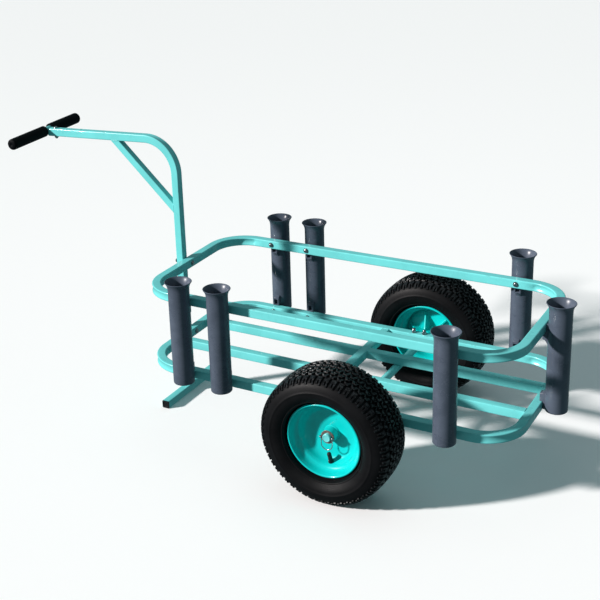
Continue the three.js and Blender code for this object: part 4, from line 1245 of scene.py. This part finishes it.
for side in (-1, 1):
    where = "near" if side < 0 else "far"
    body = f"wheel_{where}"
    place = shift(WHEEL_X, side * WHEEL_Y, WHEEL_Z) @ rot((1, 0, 0), 90 if side < 0 else -90)

    def ang(degrees):
        return degrees if side < 0 else -degrees

    t = tyre_shell(side)
    s = Shell()
    s.join(t, place @ rot((0, 0, 1), 360 / N_LUG * 0.25))
    make(f"tyre_{where}_look", s, M_TYRE, body, f"tyre_{where}", 42)

    s = Shell()
    lathe(s, rim_profile(), 128, place)
    # the seam weld between disc and barrel, on the cart's side
    ring = []
    for i in range(144):
        a = 2 * math.pi * i / 144
        ring.append([85.2 * math.cos(a), 85.2 * math.sin(a), 7.2])
    ring = np.array(ring)
    us = ring / np.linalg.norm(ring[:, :2], axis=1)[:, None] * [1, 1, 0]
    bead = Shell()
    secs = np.array([circle(2.3 + 0.22 * math.sin(i * 2.2), 8) for i in range(144)])
    sweep(bead, ring, us, np.tile([0, 0, 1.0], (144, 1)), secs, closed=True)
    s.join(bead, place)
    make(f"rim_{where}_look", s, M_WHEEL, body, f"rim_{where}", 40)

    # hub tube, its weld to the disc and six gussets
    s = Shell()
    lathe(s, closed_fillet([(17.8, HUB_IN), (21.0, HUB_IN), (21.0, HUB_OUT), (17.8, HUB_OUT)], 0.7, 2), 56, place)
    for z in (0.9, -5.0):
        ring = np.array([[22.0 * math.cos(2 * math.pi * i / 72), 22.0 * math.sin(2 * math.pi * i / 72), z] for i in range(72)])
        us = ring / np.linalg.norm(ring[:, :2], axis=1)[:, None] * [1, 1, 0]
        secs = np.array([circle(2.5 + 0.25 * math.sin(i * 2.1), 8) for i in range(72)])
        bead = Shell()
        sweep(bead, ring, us, np.tile([0, 0, 1.0], (72, 1)), secs, closed=True)
        s.join(bead, place)
    for g in range(6):
        outline = closed_fillet([(19.6, -4.0), (77.0, -4.0), (77.0, -8.0), (30.0, -44.0), (27.0, -45.5), (19.6, -45.5)], [0, 0.6, 1.5, 3.0, 2.5, 0], 3)
        o = np.array(outline)
        rows = []
        for y, k in ((-2.0, 0.5), (-1.6, 0.1), (1.6, 0.1), (2.0, 0.5)):
            c = o.mean(0)
            q = c + (o - c) * (1 - k / 40)
            rows.append(np.stack([q[:, 0], np.full(len(q), y), q[:, 1]], 1))
        m = len(o)
        v = np.concatenate(rows)
        faces = grid_faces(4, m) + [tuple(reversed(range(m))), tuple(range(3 * m, 4 * m))]
        part = Shell()
        closed_part(part, v, faces)
        for sy in (-1, 1):
            weld_bead(part, (23, sy * 2.0, -5.0), (74, sy * 2.0, -5.0), (0, sy, 0), 1.5, seed=g)
            weld_bead(part, (21.3, sy * 2.0, -43), (21.3, sy * 2.0, -7), (0, sy, 0), 1.5, seed=g + 7)
        s.join(part, place @ rot((0, 0, 1), ang(45 + 60 * g)))
    make(f"hub_{where}_look", s, M_WHEEL, body, f"hub_{where}", 40)

    s = Shell()
    lathe(s, closed_fillet([(12.7, HUB_IN), (17.6, HUB_IN), (17.6, HUB_OUT - 0.5), (12.7, HUB_OUT - 0.5)], 0.5, 2), 48, place)
    make(f"sleeve_{where}_look", s, M_SLEEVE, body, f"sleeve_{where}")

    # valve: rubber base in the barrel, stem and ribbed cap
    valve = place @ rot((0, 0, 1), ang(-88)) @ shift(88, 0, 15) @ rot((0, 1, 0), -72)
    s = Shell()
    prof = [(0, -4), (5, -4), (5.6, -3.2), (5.6, 1), (7.8, 1.6), (8.4, 3.2), (8.0, 5.2), (7.2, 8.0), (6.6, 12.0), (6.3, 17), (6.1, 22), (5.9, 24.6), (4.6, 25.2), (4.6, 26.0),
            (5.7, 26.2), (6.0, 27.0), (6.0, 34.6), (5.5, 36.4), (4.0, 37.6), (0, 38)]
    lathe(s, prof, 40, valve)
    for i in range(16):
        a = 2 * math.pi * i / 16
        part = Shell()
        rounded_box(part, (5.7, -0.35, 27.6), (6.3, 0.35, 34.4), 0.15, rot((0, 0, 1), math.degrees(a)), 1)
        s.join(part, valve)
    make(f"valve_{where}_look", s, M_VALVE, body, f"valve_{where}")

    # washer outside the hub
    s = Shell()
    lathe(s, closed_fillet([(13.2, HUB_OUT + 0.3), (20.5, HUB_OUT + 0.3), (20.5, HUB_OUT + 2.8), (13.2, HUB_OUT + 2.8)], 0.5, 3), 56, place)
    make(f"washer_{where}_look", s, M_WASHER, "frame", f"washer_{where}")

    clip = shift(WHEEL_X, side * PIN_Y, WHEEL_Z)
    s = Shell()
    pin = [(0, -22.4), (2.6, -22.4), (3.4, -21.9), (3.7, -21.0), (3.5, -20.0), (2.6, -19.6), (2.5, -19.0), (2.5, 19.6), (2.2, 20.8), (1.2, 21.2), (0, 21.2)]
    lathe(s, pin, 28, clip @ rot((0, 1, 0), 90))
    make(f"axle_pin_{where}_look", s, M_STEEL, "frame", f"axle_pin_{where}")

    s = Shell()
    wire_u(s, 17.2, 1.4, -3.3, clip, 12, -21.0, 30)
    for dx in (-17.2, 17.2):
        ring, us = [], []
        for i in range(28):
            a = 2 * math.pi * i / 28
            ring.append([dx, 3.4 * math.cos(a), 3.4 * math.sin(a)])
            us.append([0, math.cos(a), math.sin(a)])
        part = Shell()
        sweep(part, np.array(ring) * [1, 1.0, 1.0], us, np.tile([1.0, 0, 0], (28, 1)), np.array(circle(1.0, 10)) * [0.8, 1.25], closed=True)
        s.join(part, clip)
    make(f"pin_bail_{where}_look", s, M_WIRE, f"bail_{where}", f"pin_bail_{where}")

# ------------------------------------------------------------------------------ floor, light, camera
bpy.ops.mesh.primitive_plane_add(size=1, location=(0, 0, 0))
floor = bpy.context.object
floor.name = "studio_floor"
floor.scale = (60, 60, 1)
f = Nodes("pale_floor")
f.set(Base_Color=f.mix(f.ramp(f.noise(0.8, 3.0), 0.3, 0.7), [0.955, 0.955, 0.955, 1], [0.975, 0.975, 0.975, 1]), Roughness=0.75)
f.bump((f.noise(60.0, 3.0), 0.03, 0.001))
floor.data.materials.append(f.mat)
floor.visible_diffuse = False
floor.visible_glossy = False

# a pale wall far behind the floor, which neither lights the cart nor shades it
bpy.ops.mesh.primitive_cylinder_add(vertices=96, radius=29.0, depth=40.0, end_fill_type="NOTHING", location=(0, 0, 19.8))
wall = bpy.context.object
wall.name = "studio_wall"
wm = bpy.data.materials.new("pale_wall")
wm.use_nodes = True
wm.node_tree.nodes.clear()
glow = wm.node_tree.nodes.new("ShaderNodeEmission")
glow.inputs["Color"].default_value = (0.955, 0.972, 0.968, 1)
glow.inputs["Strength"].default_value = 1.0
out = wm.node_tree.nodes.new("ShaderNodeOutputMaterial")
wm.node_tree.links.new(glow.outputs[0], out.inputs["Surface"])
wm.cycles.emission_sampling = "NONE"
wall.data.materials.append(wm)
wall.visible_diffuse = wall.visible_glossy = wall.visible_transmission = wall.visible_volume_scatter = wall.visible_shadow = False

scene = bpy.context.scene
scene.view_settings.view_transform = "Standard"
scene.view_settings.look = "None"
world = bpy.data.worlds.new("studio_world")
world.use_nodes = True
world.node_tree.nodes["Background"].inputs[0].default_value = (0.62, 0.94, 1.0, 1)
world.node_tree.nodes["Background"].inputs[1].default_value = 0.22
scene.world = world


def lamp(kind, name, energy, where, to, **values):
    data = bpy.data.lights.new(name, kind)
    data.energy = energy
    for k, v in values.items():
        setattr(data, k, v)
    o = bpy.data.objects.new(name, data)
    o.location = where
    o.rotation_mode = "QUATERNION"
    o.rotation_quaternion = (Vector(to) - Vector(where)).to_track_quat("-Z", "Y")
    scene.collection.objects.link(o)
    return o


lamp("SUN", "key", 6.1, (-6.52, -6.27, 4.25), (0, 0, 0), angle=math.radians(4), color=(1.0, 0.945, 0.925))
lamp("AREA", "top_fill", 14.0, (0.4, 0.6, 4.2), (0.2, 0, 0.3), shape="RECTANGLE", size=4.5, size_y=3.5)

# camera at the photograph's viewing angle
cam_data = bpy.data.cameras.new("camera")
cam = bpy.data.objects.new("camera", cam_data)
scene.collection.objects.link(cam)
az, el, roll = math.radians(31.13), math.radians(20.02), math.radians(-2.59)
back = np.array([math.sin(az) * math.cos(el), -math.cos(az) * math.cos(el), math.sin(el)])
right0 = np.array([math.cos(az), math.sin(az), 0.0])
up0 = np.cross(back, right0)
c, sn = math.cos(roll), math.sin(roll)
right, up = c * right0 + sn * up0, -sn * right0 + c * up0
mat = Matrix.Identity(4)
for i in range(3):
    mat[i][0], mat[i][1], mat[i][2] = right[i], up[i], back[i]
pos = np.array([1460.2 + OX, -3051.86, 1892.87]) * MM
for i in range(3):
    mat[i][3] = pos[i]
cam.matrix_world = mat
cam_data.sensor_fit = "HORIZONTAL"
cam_data.sensor_width = 36.0
cam_data.lens = 1186.99 * 36.0 / 600.0
cam_data.shift_x = (300 - 242.82) / 600
cam_data.shift_y = -(300 - 237.83) / 600
cam_data.clip_end = 200
scene.camera = cam

bpy.context.view_layer.update()
